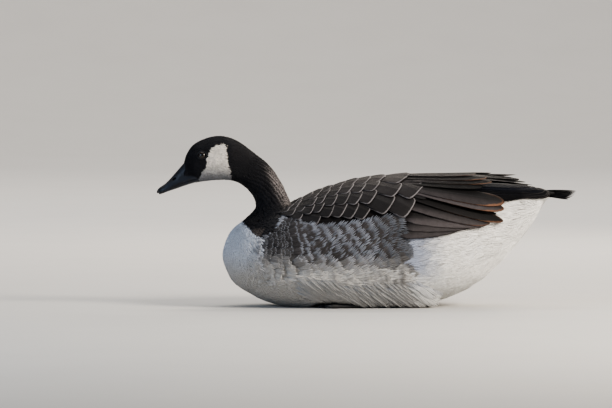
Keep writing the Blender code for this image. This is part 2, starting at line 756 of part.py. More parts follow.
def fan_vanes(table, count, tilt, back, rise, draw):
    """Flight feathers spread evenly between the rows of a table, their tips shifted back and up."""
    table = np.array(table)
    vanes = []
    for share in np.linspace(0.0, 1.0, count):
        row = [float(np.interp(share, table[:, 0], table[:, column])) for column in range(1, 8)]
        root_x, root_degrees, tip_x, tip_degrees, root_height, tip_height, half_width = row
        tip_x += back * share + draw.uniform(-LENGTH_PLAY, LENGTH_PLAY)
        heights = (root_height, tip_height + rise * share)
        ends = place(root_x, root_degrees), place(tip_x, tip_degrees)
        vanes.append(vane(skin, *ends, half_width, heights, FLIGHT_SHAPE, tilt))
    return vanes


def make_wings(material):
    """The folded wings: a core with tiers of coverts over it, secondaries, tertials and primaries."""
    for name, side in SIDES:
        draw = np.random.default_rng(7 + side)
        back = RIGHT_WING_BACK if side > 0 else 0.0
        rise = RIGHT_WING_RISE if side > 0 else 0.0
        feathers = covert_vanes(draw)
        feathers += fan_vanes(FAN, FAN_COUNT, FLIGHT_TILT, back, rise, draw)
        feathers += fan_vanes(PRIMARIES, PRIMARY_COUNT, PRIMARY_TILT, 0.0, 0.0, draw)
        wing = solid("wing_" + name, *turned(*wing_core(), side), material)
        combine(wing, [solid("vane", *turned(*feather, side)) for feather in feathers], "UNION")


def tail_sheet(x, y):
    """The sheet on which the tail's vanes lie: arched across and drooping a little behind."""
    x, y = np.broadcast_arrays(np.asarray(x, float), np.asarray(y, float))
    behind = np.maximum(x - TAIL_ROOT[0], 0.0) / (TAIL_TIP[0] - TAIL_ROOT[0])
    z = TAIL_TOP - TAIL_ARCH * (y / TAIL_TIP[1]) ** 2 - TAIL_DROOP * behind**2
    return np.stack([x, y, z], axis=-1)


def tail_core():
    """The stump under the tail feathers, face to face with the torso's rear end."""
    around = 28
    angles = np.linspace(0, 2 * math.pi, around, endpoint=False)
    start = way_of("tail_root")
    rings = [skin(np.full(around, start), angles) + ring_plane_normal(start) * GAP]
    for x, z, half_width, half_height in STUMP:
        ring = [np.full(around, x), half_width * np.sin(angles), z + half_height * np.cos(angles)]
        rings.append(np.stack(ring, axis=-1))
    return rings_solid(rings)


def make_tail(material):
    """The tail: a stump and pairs of overlapping vanes, the middle pair on top and the longest."""
    tail = solid("tail", *tail_core(), material)
    feathers = []
    for pair in range(TAIL_PAIRS):
        share = (pair + 0.5) / TAIL_PAIRS
        root = (TAIL_ROOT[0], TAIL_ROOT[1] * share)
        tip = (TAIL_TIP[0] - TAIL_ROUNDING * share**2, TAIL_TIP[1] * share)
        height = TAIL_STEP * (TAIL_PAIRS - 1 - pair)
        heights = (height, height + TAIL_LIFT * (1.0 - share))
        blade = vane(tail_sheet, root, tip, TAIL_HALF_WIDTH, heights, TAIL_SHAPE, TAIL_TILT)
        for _, side in SIDES:
            feathers.append(solid("vane", *turned(*blade, side)))
    combine(tail, feathers, "UNION")


def build():
    """Clears the scene and makes every part."""
    for obj in list(bpy.data.objects):
        bpy.data.objects.remove(obj)
    black = colour_material("black_plumage", (0.02, 0.02, 0.024), 0.75)
    brown = colour_material("brown_plumage", (0.13, 0.10, 0.085), 0.8)
    pale = colour_material("pale_plumage", (0.5, 0.45, 0.4), 0.85)
    horn = colour_material("bill_horn", (0.015, 0.017, 0.022), 0.35)
    foot = colour_material("foot_skin", (0.03, 0.03, 0.03), 0.5)
    eye = colour_material("eye", (0.02, 0.012, 0.008), 0.05)
    make_head(black)
    make_eyes(eye)
    make_bill(horn)
    make_neck(black)
    make_torso(pale)
    make_legs(foot)
    make_wings(brown)
    make_tail(black)


build()
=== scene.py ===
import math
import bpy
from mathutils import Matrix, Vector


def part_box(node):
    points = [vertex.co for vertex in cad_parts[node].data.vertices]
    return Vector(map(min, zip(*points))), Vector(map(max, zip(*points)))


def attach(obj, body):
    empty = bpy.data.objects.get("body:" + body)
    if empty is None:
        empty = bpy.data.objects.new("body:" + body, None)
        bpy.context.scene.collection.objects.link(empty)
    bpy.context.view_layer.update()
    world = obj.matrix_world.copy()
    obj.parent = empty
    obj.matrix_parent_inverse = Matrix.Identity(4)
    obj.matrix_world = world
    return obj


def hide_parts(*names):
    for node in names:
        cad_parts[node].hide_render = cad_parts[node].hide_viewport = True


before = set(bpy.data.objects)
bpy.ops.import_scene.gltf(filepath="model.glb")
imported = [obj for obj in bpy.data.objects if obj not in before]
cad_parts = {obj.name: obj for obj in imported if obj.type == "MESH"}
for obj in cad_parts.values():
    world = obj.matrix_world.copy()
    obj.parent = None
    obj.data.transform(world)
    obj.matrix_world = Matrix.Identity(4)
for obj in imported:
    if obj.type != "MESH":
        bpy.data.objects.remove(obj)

# Looks of the Canada goose: one skin, the plumage over it, bill, eyes, feet, floor, light and camera.
#
# Shapes are worked out in millimetres. The skin is one loft of rings between the upper and the lower
# outline, and a place on it is its way along the bird and its angle round the ring: 0 on the back, a
# quarter turn on the right side, half a turn on the belly. The bird faces -X, its left side is at -Y.
# Each feather is a closed vane laid on that skin from its root to its tip.

from types import SimpleNamespace

import bpy
import numpy as np

MM = 0.001
TURN = 2 * math.pi
SIDES = (("left", -1), ("right", 1))
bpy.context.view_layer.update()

# Stations of the body: name, upper outline (x, z), lower outline (x, z), half width, drop of the widest
# line below the middle. The first one lies ahead of the bill's base, for the feathers at its sides.
STATIONS = (
    ("bill_side", -262.6, 192.4, -252.0, 169.4, 12.0, 0.0),
    ("bill_base", -256.0, 200.0, -240.5, 172.8, 13.5, 1.0),
    ("forehead", -252.0, 212.0, -233.0, 174.2, 18.0, 1.0),
    ("brow", -242.5, 225.0, -224.0, 175.6, 21.5, 1.0),
    ("crown", -225.0, 234.6, -212.0, 177.0, 24.0, 2.0),
    ("cheek", -203.0, 238.0, -198.0, 177.2, 25.5, 3.0),
    ("nape", -183.0, 232.2, -186.0, 175.6, 24.5, 2.0),
    ("neck_top", -160.0, 216.2, -175.0, 170.6, 23.0, 0.0),
    ("neck_bend", -134.0, 194.0, -162.0, 158.8, 22.5, 0.0),
    ("neck_middle", -118.5, 170.5, -155.8, 147.0, 24.0, 0.0),
    ("neck_base", -109.0, 150.0, -156.5, 135.0, 29.0, 0.0),
    ("collar", -104.0, 139.2, -171.0, 120.5, 38.0, 0.0),
    ("crop", -100.0, 143.0, -190.5, 103.5, 55.0, 0.0),
    ("breast", -92.5, 148.6, -200.8, 78.0, 70.0, 0.0),
    ("breast_low", -77.0, 156.0, -193.5, 45.0, 84.0, 0.0),
    ("shoulder", -51.0, 165.0, -160.0, 16.0, 95.0, 2.0),
    ("keel_front", -16.0, 174.6, -98.0, -3.0, 102.0, 4.0),
    ("keel", 34.0, 180.4, -10.0, -4.5, 104.0, 6.0),
    ("keel_rear", 76.0, 180.0, 62.0, -1.0, 99.5, 6.0),
    ("hip", 120.0, 177.0, 120.0, 14.0, 87.0, 4.0),
    ("vent", 160.0, 173.4, 166.0, 41.0, 70.0, 0.0),
    ("undertail", 192.0, 169.5, 204.0, 78.0, 51.0, 0.0),
    ("rump", 214.0, 166.0, 233.0, 117.0, 36.0, 0.0),
    ("tail_root", 229.0, 164.0, 252.0, 148.0, 26.0, 0.0),
    ("stump", 247.0, 162.0, 259.0, 152.0, 22.0, 0.0),
    ("stump_end", 262.0, 159.6, 265.0, 155.4, 20.0, 0.0),
)
NAMES = [row[0] for row in STATIONS]
ROWS = np.array([row[1:] for row in STATIONS], float)
BODY_ROUNDNESS = 0.93

# The bill, from its base to its tip: upper outline, mouth line and lower outline (x, z), half width.
BILL = (
    ((-250.0, 205.0), (-236.0, 178.6), (-233.0, 174.6), 13.4),
    ((-256.0, 200.0), (-243.0, 177.2), (-240.5, 172.8), 13.4),
    ((-262.6, 192.4), (-254.0, 173.8), (-252.0, 169.4), 12.4),
    ((-269.4, 184.6), (-264.0, 170.2), (-262.4, 165.8), 11.4),
    ((-276.0, 177.2), (-272.4, 166.8), (-271.0, 162.9), 11.0),
    ((-282.0, 171.4), (-279.4, 163.6), (-278.4, 160.4), 10.8),
    ((-287.0, 168.0), (-285.0, 160.9), (-284.0, 158.2), 9.8),
    ((-290.8, 165.2), (-289.0, 159.2), (-288.0, 156.9), 7.0),
    ((-293.2, 161.8), (-291.2, 158.4), (-289.8, 156.6), 3.2),
)

# Local relief of the head: x, z, reach along x and z, height. Brow, lore, eye socket, cheek, chin.
HEAD_RELIEF = (
    (-235.0, 222.5, 11.0, 4.0, 0.9),
    (-246.0, 203.0, 7.0, 7.0, -0.8),
    (-231.7, 212.2, 8.0, 7.0, -0.8),
    (-211.0, 191.0, 14.0, 13.0, 1.0),
    (-238.0, 183.5, 8.0, 3.5, -0.6),
)

# The eyes: radius of the ball, opening and outer rim of the lids along and across, bare room round them.
EYE_RADIUS = 6.0
LID_OPENING = (5.35, 4.5)
LID_OUTER = (7.2, 6.3)
EYE_CLEAR = 6.2

# The furrows of the neck: how many round it, their drift per millimetre of way, their waver with its
# length along the way and its waves round the neck, their height, how far they sink, and their ways.
FURROWS = 28
FURROW_DRIFT = 0.40
FURROW_WAVER = (0.9, 7.0, 3.0)
FURROW_HEIGHT = 0.55
FURROW_SINK = 0.6
FURROW_WAYS = (82.0, 104.0, 158.0, 178.0)

# Depth of the coat over the skin, by way.
COAT_DEPTH = (
    (-9.0, 0.5), (0.0, 0.8), (30.0, 0.9), (60.0, 1.2), (90.0, 1.8), (140.0, 2.2), (180.0, 2.4),
    (240.0, 2.6), (560.0, 2.6), (600.0, 2.0), (640.0, 1.0),
)

# The folded arm under the wing feathers over x: upper and lower edge in degrees, height.
ARM = (
    (-84.0, 34.0, 52.0, 0.5),
    (-72.0, 18.0, 66.0, 1.0),
    (-55.0, 11.0, 71.0, 1.4),
    (-10.0, 10.0, 73.0, 1.8),
    (40.0, 10.0, 75.0, 2.4),
    (66.0, 10.0, 79.0, 2.0),
    (84.0, 10.0, 78.0, 1.0),
    (98.0, 10.0, 72.0, 0.0),
)
# Its least height, where along x it sets in and ends, and how far off its edges it does, in degrees.
ARM_BED = 0.5
ARM_XS = (-94.0, -72.0, 88.0, 112.0)
ARM_EDGES = np.array((-6.0, 3.0, -3.0, 7.0))

# The tucked feet, in millimetres on the right side: heel, tarsus, heights that skin and coat keep over
# tarsus and toes, and the web's length and spread to each side.
HEEL = (84.0, 57.0, 5.8)
TARSUS_LENGTH = 78.0
TARSUS_COVER, TARSUS_SIDES = 13.0, (5.5, 9.0)
TOE_COVER, TOE_SIDES = 7.5, (1.0, 5.0)
WEB_LENGTH = 74.0
WEB_HALF_WIDTHS = (5.0, 22.0)
FLOOR_GAP = 0.15

# Outlines of the markings as seen from the side, x and z.
CHEEK = (
    (-202.0, 227.9), (-196.0, 225.3), (-197.3, 217.8), (-195.3, 209.2), (-193.9, 198.5), (-191.2, 189.1),
    (-189.6, 180.5), (-189.0, 160.0), (-236.0, 160.0), (-234.8, 178.4), (-230.7, 187.7), (-226.1, 193.2),
    (-224.1, 198.5), (-224.7, 206.5), (-222.0, 211.8), (-218.1, 221.2), (-210.7, 226.0),
)
BLACK_NECK = (
    (-330.0, 119.3), (-173.3, 119.3), (-163.5, 108.6), (-155.0, 100.5), (-150.1, 98.8), (-141.0, 102.8),
    (-130.0, 113.0), (-126.0, 123.0), (-120.0, 132.0), (-112.0, 139.0), (-104.0, 143.0), (-90.0, 150.0),
    (-90.0, 300.0), (-330.0, 300.0),
)
BIB_PATCH = ((-163.0, 111.0), (-147.0, 112.5), (-147.5, 104.5), (-153.0, 101.5), (-160.0, 105.0))
FLANK_TOP = (
    (-150.0, 118.0), (-128.0, 122.0), (-119.0, 131.0), (-110.0, 134.0), (-101.0, 127.0), (-90.0, 119.0),
    (-65.0, 116.5), (-30.0, 117.0), (5.0, 121.0), (33.0, 126.5), (52.0, 125.0), (58.0, 108.0),
    (63.0, 99.4),
)
WING_LOW = (
    (50.0, 106.0), (64.0, 105.4), (131.0, 122.0), (170.0, 121.0), (179.0, 124.0), (184.0, 146.0),
    (200.0, 151.0), (216.0, 157.0), (240.0, 157.0), (250.0, 151.0), (256.0, 146.0), (268.0, 140.0),
)

# Colours, linear.
BLACK = (0.0055, 0.0055, 0.0080)
BLACK_WARM = (0.028, 0.0245, 0.0250)
SPECKLE = (0.30, 0.27, 0.265)
CREAM = (0.66, 0.62, 0.57)
# Painted shade for the lower part of the cheek patch.
CHEEK_PAINTED_SHADE = (0.195, 0.20, 0.215)
# Pale grey of the breast, tinted blue as a painted cool shade.
BREAST_WITH_PAINTED_COOL_SHADE = (0.50, 0.535, 0.61)
BREAST_BAR = (0.045, 0.042, 0.044)
FLANK = (0.058, 0.052, 0.052)
# Pale grey flank fringes, tinted blue as a painted cool shade.
FLANK_TIP_WITH_PAINTED_COOL_SHADE = (0.185, 0.198, 0.232)
BELLY = (0.42, 0.41, 0.40)
WHITE = (0.88, 0.86, 0.83)
# Painted blue shadow of the wing on the front of the vent.
VENT_PAINTED_SHADOW = (0.36, 0.39, 0.48)
VENT_LOW = (0.68, 0.67, 0.65)
BROWN = (0.0092, 0.0075, 0.0080)
BROWN_FRINGE = (0.155, 0.145, 0.150)
FLIGHT = (0.0110, 0.0092, 0.0094)
FLIGHT_GREY = (0.043, 0.037, 0.038)
FLIGHT_RIM = (0.13, 0.064, 0.038)
PRIMARY = (0.0022, 0.0022, 0.0036)
# Painted blue sheen of the sky on the highest primaries.
PRIMARY_PAINTED_SKY_SHEEN = (0.0022, 0.0029, 0.0064)
RUMP = (0.006, 0.0055, 0.006)
BIB = (0.055, 0.046, 0.043)

# Colours of horn, eye, lids, feet and floor.
# The horn's black is tinted blue as a painted sky reflection, in broad lighter patches and fine worn specks.
HORN_WITH_PAINTED_SKY, HORN_LIGHT_WITH_PAINTED_SKY, HORN_WORN = (0.0016, 0.0031, 0.0075), (0.0042, 0.0088, 0.0210), (0.009, 0.013, 0.024)
PUPIL, IRIS_RIM = (0.0015, 0.0015, 0.002), (0.004, 0.003, 0.003)
IRIS, IRIS_LIGHT = (0.007, 0.0037, 0.0022), (0.017, 0.0085, 0.0047)
LID, LID_LIGHT = (0.003, 0.003, 0.004), (0.009, 0.009, 0.011)
SCALE_GROOVE, SCALE = (0.008, 0.008, 0.009), (0.030, 0.029, 0.029)
FLOOR, FLOOR_LIGHT = (0.62, 0.60, 0.57), (0.66, 0.64, 0.61)

# Shapes of feathers: rows of share of the length, share of the width and share of the rise.
TUFT_SHAPE = ((0.0, 0.45, 0.0), (0.4, 1.0, 0.45), (0.8, 0.7, 0.85), (1.0, 0.12, 1.0))
STRAND_SHAPE = ((0.0, 0.5, 0.0), (0.35, 0.9, 0.42), (0.65, 1.0, 0.72), (0.86, 0.75, 0.9), (1.0, 0.15, 1.0))
COVERT_SHAPE = (
    (0.0, 0.3, 0.0), (0.2, 0.75, 0.25), (0.45, 0.96, 0.5), (0.7, 1.0, 0.74), (0.86, 0.99, 0.88),
    (0.935, 0.94, 0.945), (0.972, 0.82, 0.975), (0.992, 0.58, 0.992), (1.0, 0.22, 1.0),
)
FLIGHT_SHAPE = (
    (0.0, 0.3, 0.0), (0.15, 0.75, 0.2), (0.35, 0.95, 0.4), (0.55, 1.0, 0.58), (0.72, 0.95, 0.74),
    (0.84, 0.83, 0.86), (0.92, 0.64, 0.93), (0.97, 0.42, 0.975), (1.0, 0.14, 1.0),
)
# Sections of feathers: places across, their share of the camber, and 1 where they lie on the under side.
BLADE_SECTION = ((-1.0, 0.0, 0), (0.0, 1.0, 0), (1.0, 0.0, 0))
VANE_SECTION = (
    (-1.0, 0.0, 0), (-0.86, 0.26, 0), (-0.5, 0.75, 0), (-0.06, 0.97, 0), (0.0, 1.25, 0), (0.06, 0.97, 0),
    (0.5, 0.75, 0), (0.86, 0.26, 0), (1.0, 0.0, 0), (0.5, 0.75, 1), (0.0, 1.0, 1), (-0.5, 0.75, 1),
)


def feather(shape, section, camber, thickness=0.0, shaft=0.0, side=None):
    """A style of feather. Side is how many times farther than the tip its sides count for the fringe."""
    return SimpleNamespace(
        shape=np.array(shape), section=np.array(section, float), camber=camber, thickness=thickness,
        shaft=shaft, side=side,
    )


TUFT = feather(TUFT_SHAPE, BLADE_SECTION, 0.45, side=3.0)
STRAND = feather(STRAND_SHAPE, BLADE_SECTION, 0.35)
COVERT = feather(COVERT_SHAPE, VANE_SECTION, 0.9, 0.5, 0.5, 7.0)
VANE = feather(FLIGHT_SHAPE, VANE_SECTION, 0.8, 0.6, 0.8, 7.0)


def smooth(value, low, high):
    """0 at low, 1 at high and a smooth run between them."""
    share = np.clip((value - low) / (high - low), 0.0, 1.0)
    return share * share * (3.0 - 2.0 * share)


def window(value, start, full, fade, end):
    """0 up to start, 1 from full to fade, 0 from end on, with smooth runs between them."""
    return smooth(value, start, full) * (1.0 - smooth(value, fade, end))


def between(a, b, share):
    """A number from a to b by share."""
    return a * (1.0 - share) + b * share


def mix(a, b, share):
    """A colour or a vector from a to b by share."""
    return between(np.asarray(a, float), np.asarray(b, float), np.asarray(share, float)[..., None])


def unit(vectors):
    """Vectors of length one."""
    return vectors / np.maximum(np.linalg.norm(vectors, axis=-1, keepdims=True), 1e-9)


def dot(a, b):
    """The dot product over the last axis."""
    return (a * b).sum(-1)


def line_at(line, x):
    """The height at x of a line that is given as points x and z."""
    return np.interp(x, *np.transpose(line))


WAVES = 5
WAVE_SCALE = 2.6


def wobble(points, size, seed):
    """A smooth random field between about -1 and 1 over points, with waves of about that size."""
    draw = np.random.default_rng(seed)
    total = 0.0
    for _ in range(WAVES):
        wave = unit(draw.normal(size=3)) * TURN / (size * draw.uniform(0.7, 1.5))
        total = total + np.sin(points @ wave + draw.uniform(0, TURN))
    return total / WAVE_SCALE


def station_ways():
    """The way along the bird of each station, from the bill's base on."""
    middles = (ROWS[:, 0:2] + ROWS[:, 2:4]) / 2
    ways = np.concatenate([[0.0], np.cumsum(np.linalg.norm(np.diff(middles, axis=0), axis=1))])
    return ways - ways[NAMES.index("bill_base")]


WAYS = station_ways()
SLOPES = np.gradient(ROWS, WAYS, axis=0)


def row_at(way):
    """The station row at any way, by cubic Hermite curves. Past the ends it runs on straight."""
    index = np.clip(np.searchsorted(WAYS, way, side="right") - 1, 0, len(WAYS) - 2)
    span = (WAYS[index + 1] - WAYS[index])[:, None]
    t = (way[:, None] - WAYS[index][:, None]) / span
    within = np.clip(t, 0.0, 1.0)
    a, b = ROWS[index], ROWS[index + 1]
    ma, mb = SLOPES[index] * span, SLOPES[index + 1] * span
    t2, t3 = within**2, within**3
    value = (2 * t3 - 3 * t2 + 1) * a + (t3 - 2 * t2 + within) * ma
    value += (3 * t2 - 2 * t3) * b + (t3 - t2) * mb
    over = t - within
    return value + over * np.where(over > 0, mb, ma)


def body(way, angle):
    """Points of the body's outline form at arrays of ways and angles."""
    row = row_at(way.ravel()).reshape(way.shape + (6,))
    c, s = np.cos(angle), np.sin(angle)
    high = np.sign(c) * np.abs(c) ** BODY_ROUNDNESS
    wide = np.sign(s) * np.abs(s) ** BODY_ROUNDNESS
    top, bottom = row[..., 0:2], row[..., 2:4]
    half = (top - bottom) / 2
    drop = row[..., 5] * s**2 / np.maximum(np.linalg.norm(half, axis=-1), 1e-6)
    middle = (top + bottom) / 2 + half * (high - drop)[..., None]
    return np.stack([middle[..., 0], row[..., 4] * wide, np.maximum(middle[..., 1], 0.0)], axis=-1)


WAY_STEP = 1.0
GRID_WAYS = np.arange(WAYS[0], WAYS[-1], WAY_STEP)
GRID_ANGLES = np.linspace(0.0, TURN, 361)
ANGLE_STEP = GRID_ANGLES[1]
WAY_GRID, ANGLE_GRID = np.meshgrid(GRID_WAYS, GRID_ANGLES, indexing="ij")
FOLDED_GRID = math.pi - np.abs(math.pi - ANGLE_GRID)


def slopes_of(points):
    """Steps of a grid of points per millimetre of way and per radian of angle, and the normals."""
    along = np.gradient(points, WAY_STEP, axis=0)
    wrapped = np.concatenate([points[:, -2:-1], points, points[:, 1:2]], axis=1)
    around = (wrapped[:, 2:] - wrapped[:, :-2]) / (2 * ANGLE_STEP)
    return along, around, unit(np.cross(along, around))


def relief(points):
    """Height of the head's local forms and of the neck's furrows over the body's outline form."""
    x, z = points[..., 0], points[..., 2]
    height = np.zeros(x.shape)
    for place_x, place_z, reach_x, reach_z, rise in HEAD_RELIEF:
        height += rise * np.exp(-(((x - place_x) / reach_x) ** 2) - ((z - place_z) / reach_z) ** 2)
    waver, length, waves = FURROW_WAVER
    waver = waver * np.sin(WAY_GRID / length) * np.sin(waves * FOLDED_GRID)
    phase = FURROWS * FOLDED_GRID + FURROW_DRIFT * WAY_GRID + waver
    return height + FURROW_HEIGHT * window(WAY_GRID, *FURROW_WAYS) * (np.cos(phase) - FURROW_SINK)


def arm_height(x, degrees):
    """How far the folded arm lifts the skin over the body, and where it does from 0 to 1."""
    upper, lower, height = (line_at(np.array(ARM)[:, [0, column]], x) for column in (1, 2, 3))
    share = np.clip((degrees - upper) / (lower - upper), 0.0, 1.0)
    swell = np.sin(math.pi * (0.1 + 0.8 * share)) ** 0.5
    above, inner, beneath, outer = ARM_EDGES
    shown = window(degrees, upper + above, upper + inner, lower + beneath, lower + outer)
    return ARM_BED + height * swell, shown * window(x, *ARM_XS)


def make_grid():
    """Fields over the grid: body points with their relief, normals, steps and the skin's height."""
    plain = body(WAY_GRID, ANGLE_GRID)
    _, _, normal = slopes_of(plain)
    points = plain + normal * relief(plain)[..., None]
    points[..., 2] = np.maximum(points[..., 2], 0.0)
    along, around, normal = slopes_of(points)
    depth = line_at(COAT_DEPTH, WAY_GRID)
    lift, shown = arm_height(points[..., 0], np.degrees(FOLDED_GRID))
    return points, normal, along, around, lift * shown - depth * (1.0 - shown)


POINT, NORMAL, ALONG, AROUND, BED = make_grid()
FRAMES = np.concatenate([POINT, NORMAL, ALONG, AROUND, BED[..., None]], axis=-1)


def sample(field, spots):
    """A grid field at spots (way, angle), between its nodes, with the angle going round."""
    i = np.clip((spots[..., 0] - GRID_WAYS[0]) / WAY_STEP, 0.0, len(GRID_WAYS) - 1.001)
    j = np.mod(spots[..., 1], TURN) / ANGLE_STEP
    i0, j0 = i.astype(int), np.minimum(j.astype(int), len(GRID_ANGLES) - 2)
    fi, fj = (i - i0)[..., None], (j - j0)[..., None]
    low = field[i0, j0] * (1 - fj) + field[i0, j0 + 1] * fj
    high = field[i0 + 1, j0] * (1 - fj) + field[i0 + 1, j0 + 1] * fj
    return low * (1 - fi) + high * fi


def folded(spots):
    """The angle of places counted from the back, the same on both sides."""
    return math.pi - np.abs(math.pi - np.mod(spots[..., 1], TURN))


# Runs of flank feathers lean back on their way down: by how much at most, where along x that sets in,
# the share that is lost again towards the vent, and where.
FLANK_SLANT, SLANT_XS = 0.85, (-118.0, -52.0)
SLANT_LOSS, SLANT_LOSS_XS = 0.65, (20.0, 52.0)

# Leans of the coat down from the way along the bird, in degrees, and their ranges along the way, x, z or
# degrees from the back: the neck's, the flank's, the back's and the vent's. Round an eye the coat parts.
NECK_LEAN, NECK_LEAN_WAYS = -10.0, (85.0, 110.0, 150.0, 180.0)
FLANK_LEAN_HEIGHTS, FLANK_LEAN_XS, FLANK_LEAN_DEGREES = (15.0, 80.0), (60.0, 90.0), (50.0, 66.0)
BACK_LEAN, BACK_LEAN_XS, BACK_LEAN_DEGREES = 9.0, (-90.0, -50.0), 60.0
VENT_LEAN, VENT_LEAN_XS, VENT_LEAN_DEGREES = -10.0, (70.0, 120.0), (60.0, 100.0)
LEVEL_WAY, LEVEL_XS = 150.0, (-175.0, -115.0)
EYE_REACH = (14.0, 26.0)


def surface_step(frames, direction):
    """The step of way and angle per millimetre along a direction in the surface."""
    along, around = frames[..., 6:9], frames[..., 9:12]
    aa, ab, bb = dot(along, along), dot(along, around), dot(around, around)
    a, b = dot(along, direction), dot(around, direction)
    area = np.maximum(aa * bb - ab * ab, 1e-6)
    return np.stack([(a * bb - b * ab) / area, (b * aa - a * ab) / area], axis=-1)


def flank_slant(x):
    """How far a row of flank feathers runs back for each millimetre that it runs down."""
    return FLANK_SLANT * smooth(x, *SLANT_XS) * (1.0 - SLANT_LOSS * smooth(x, *SLANT_LOSS_XS))


def lie_field():
    """The direction in which feathers lie over the grid: along the bird, round the eyes, up the flank."""
    side = np.where(ANGLE_GRID < math.pi, 1.0, -1.0)[..., None]
    x, z = POINT[..., 0], POINT[..., 2]
    forward = ALONG - NORMAL * dot(ALONG, NORMAL)[..., None]
    level = np.array([1.0, 0.0, 0.0]) - NORMAL * NORMAL[..., 0:1]
    base = unit(mix(unit(forward), unit(level), smooth(x, *LEVEL_XS) * (WAY_GRID > LEVEL_WAY)))
    down = unit(np.cross(NORMAL, base)) * side
    degrees = np.degrees(FOLDED_GRID)
    lean = NECK_LEAN * window(WAY_GRID, *NECK_LEAN_WAYS)
    flank = smooth(z, *FLANK_LEAN_HEIGHTS) * (1.0 - smooth(x, *FLANK_LEAN_XS))
    lean -= np.degrees(np.arctan(flank_slant(x))) * flank * smooth(degrees, *FLANK_LEAN_DEGREES)
    wave = np.sin(TURN / 2 * degrees / BACK_LEAN_DEGREES) * (degrees < BACK_LEAN_DEGREES)
    lean += BACK_LEAN * smooth(x, *BACK_LEAN_XS) * wave
    lean += VENT_LEAN * smooth(x, *VENT_LEAN_XS) * smooth(degrees, *VENT_LEAN_DEGREES)
    lean = np.radians(lean)[..., None]
    flow = base * np.cos(lean) + down * np.sin(lean)
    for eye in EYES.values():
        away = POINT - eye
        p, q = dot(away, base), dot(away, down)
        ratio = EYE_CLEAR**2 / np.maximum(p**2 + q**2, EYE_CLEAR**2 * 0.8)
        turn = ratio / np.maximum(p**2 + q**2, 1.0)
        swirl = base * (1.0 - turn * (p**2 - q**2))[..., None] - down * (2.0 * turn * p * q)[..., None]
        near = 1.0 - smooth(np.linalg.norm(away, axis=-1), *EYE_REACH)
        flow = mix(flow, unit(swirl), near)
    return unit(flow)


def eye_points():
    """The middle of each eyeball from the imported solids, by side."""
    found = {}
    for name, sign in SIDES:
        low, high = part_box("eye_" + name)
        found[sign] = np.array((low + high) / 2) / MM
    return found


EYES = eye_points()
LIE = lie_field()
BODY_ROWS = GRID_WAYS > WAYS[NAMES.index("breast")]


def place(x, degrees):
    """The way and angle of the body at x, that many degrees round from the back, right side positive."""
    way = np.interp(x, POINT[BODY_ROWS, int(round(abs(degrees))), 0], GRID_WAYS[BODY_ROWS])
    return np.array([way, math.radians(degrees) % TURN])


TABLE_STEP = 2.0
TABLE_X = np.arange(-170.0, 262.0, TABLE_STEP)


def side_table():
    """Over x and degrees from the back, on the right side: heights of the body, and rise of its normal."""
    columns = [column[BODY_ROWS] for column in np.swapaxes(FRAMES, 0, 1)[:181]]
    return (np.array([np.interp(TABLE_X, column[:, 0], column[:, field]) for column in columns]).T
            for field in (2, 5))


TABLE_Z, TABLE_RISE = side_table()


def seat(x, z, sign, height=0.0):
    """The place of a side under the point at x and z that stands that high over the body."""
    row = int(np.clip(round((x - TABLE_X[0]) / TABLE_STEP), 0, len(TABLE_X) - 1))
    level = TABLE_Z[row] + height * TABLE_RISE[row]
    return place(x, sign * np.interp(-z, -level, np.arange(181.0)))


def flow_at(spots, turn=0.0):
    """The lie of the coat at places, turned by an angle about the normal."""
    frames = sample(FRAMES, spots)
    normal = frames[..., 3:6]
    flow = sample(LIE, spots)
    flow = unit(flow - normal * dot(flow, normal)[..., None])
    turn = np.broadcast_to(np.asarray(turn, float), flow.shape[:1])[:, None]
    return frames, flow * np.cos(turn) + np.cross(normal, flow) * np.sin(turn)


def towards(roots, lengths, turn=0.0):
    """The places where feathers of those lengths end, laid from their roots along the lie of the coat."""
    frames, flow = flow_at(roots, turn)
    return roots + surface_step(frames, flow) * np.asarray(lengths)[:, None]


def inside(outline, x, z):
    """Distance of points inside an outline seen from the side, negative outside it."""
    corners = np.array(outline, float)
    point = np.stack([x, z], axis=-1)[..., None, :]
    a, b = corners, np.roll(corners, -1, axis=0)
    run = b - a
    share = np.clip(((point - a) * run).sum(-1) / (run**2).sum(-1), 0.0, 1.0)
    distance = np.linalg.norm(point - a - run * share[..., None], axis=-1).min(-1)
    crosses = (a[:, 1] > z[..., None]) != (b[:, 1] > z[..., None])
    fall = np.where(b[:, 1] == a[:, 1], 1.0, b[:, 1] - a[:, 1])
    where = a[:, 0] + (z[..., None] - a[:, 1]) / fall * run[:, 0]
    within = (crosses & (x[..., None] < where)).sum(-1) % 2 == 1
    return np.where(within, distance, -distance)


PLASTIC_NUMBER = 1.32471795724474602596


def scatter(count, density, seed):
    """Evenly spread random places over the grid, as close as density asks, by the area of the surface."""
    area = np.linalg.norm(np.cross(ALONG, AROUND), axis=-1)[:-1, :-1] * density[:-1, :-1]
    rows = area.sum(1)
    cells = np.cumsum(area, axis=1) / np.maximum(rows, 1e-12)[:, None]
    steps = np.arange(count) + 0.5
    draw = np.random.default_rng(seed)
    u = np.mod(draw.uniform() + steps / PLASTIC_NUMBER, 1.0)
    v = np.mod(draw.uniform() + steps / PLASTIC_NUMBER**2, 1.0)
    climb = np.cumsum(rows) / rows.sum()
    i = np.minimum(np.searchsorted(climb, u), len(rows) - 1)
    below = np.where(i > 0, climb[i - 1], 0.0)
    part = (u - below) / np.maximum(climb[i] - below, 1e-12)
    flat = (cells + np.arange(len(rows))[:, None]).ravel()
    j = np.searchsorted(flat, i + np.minimum(v, 0.999999)) - i * cells.shape[1]
    j = np.clip(j, 0, cells.shape[1] - 1)
    way = GRID_WAYS[i] + part * WAY_STEP
    angle = GRID_ANGLES[j] + draw.uniform(0, 1, count) * ANGLE_STEP
    return np.stack([way, angle], axis=-1)


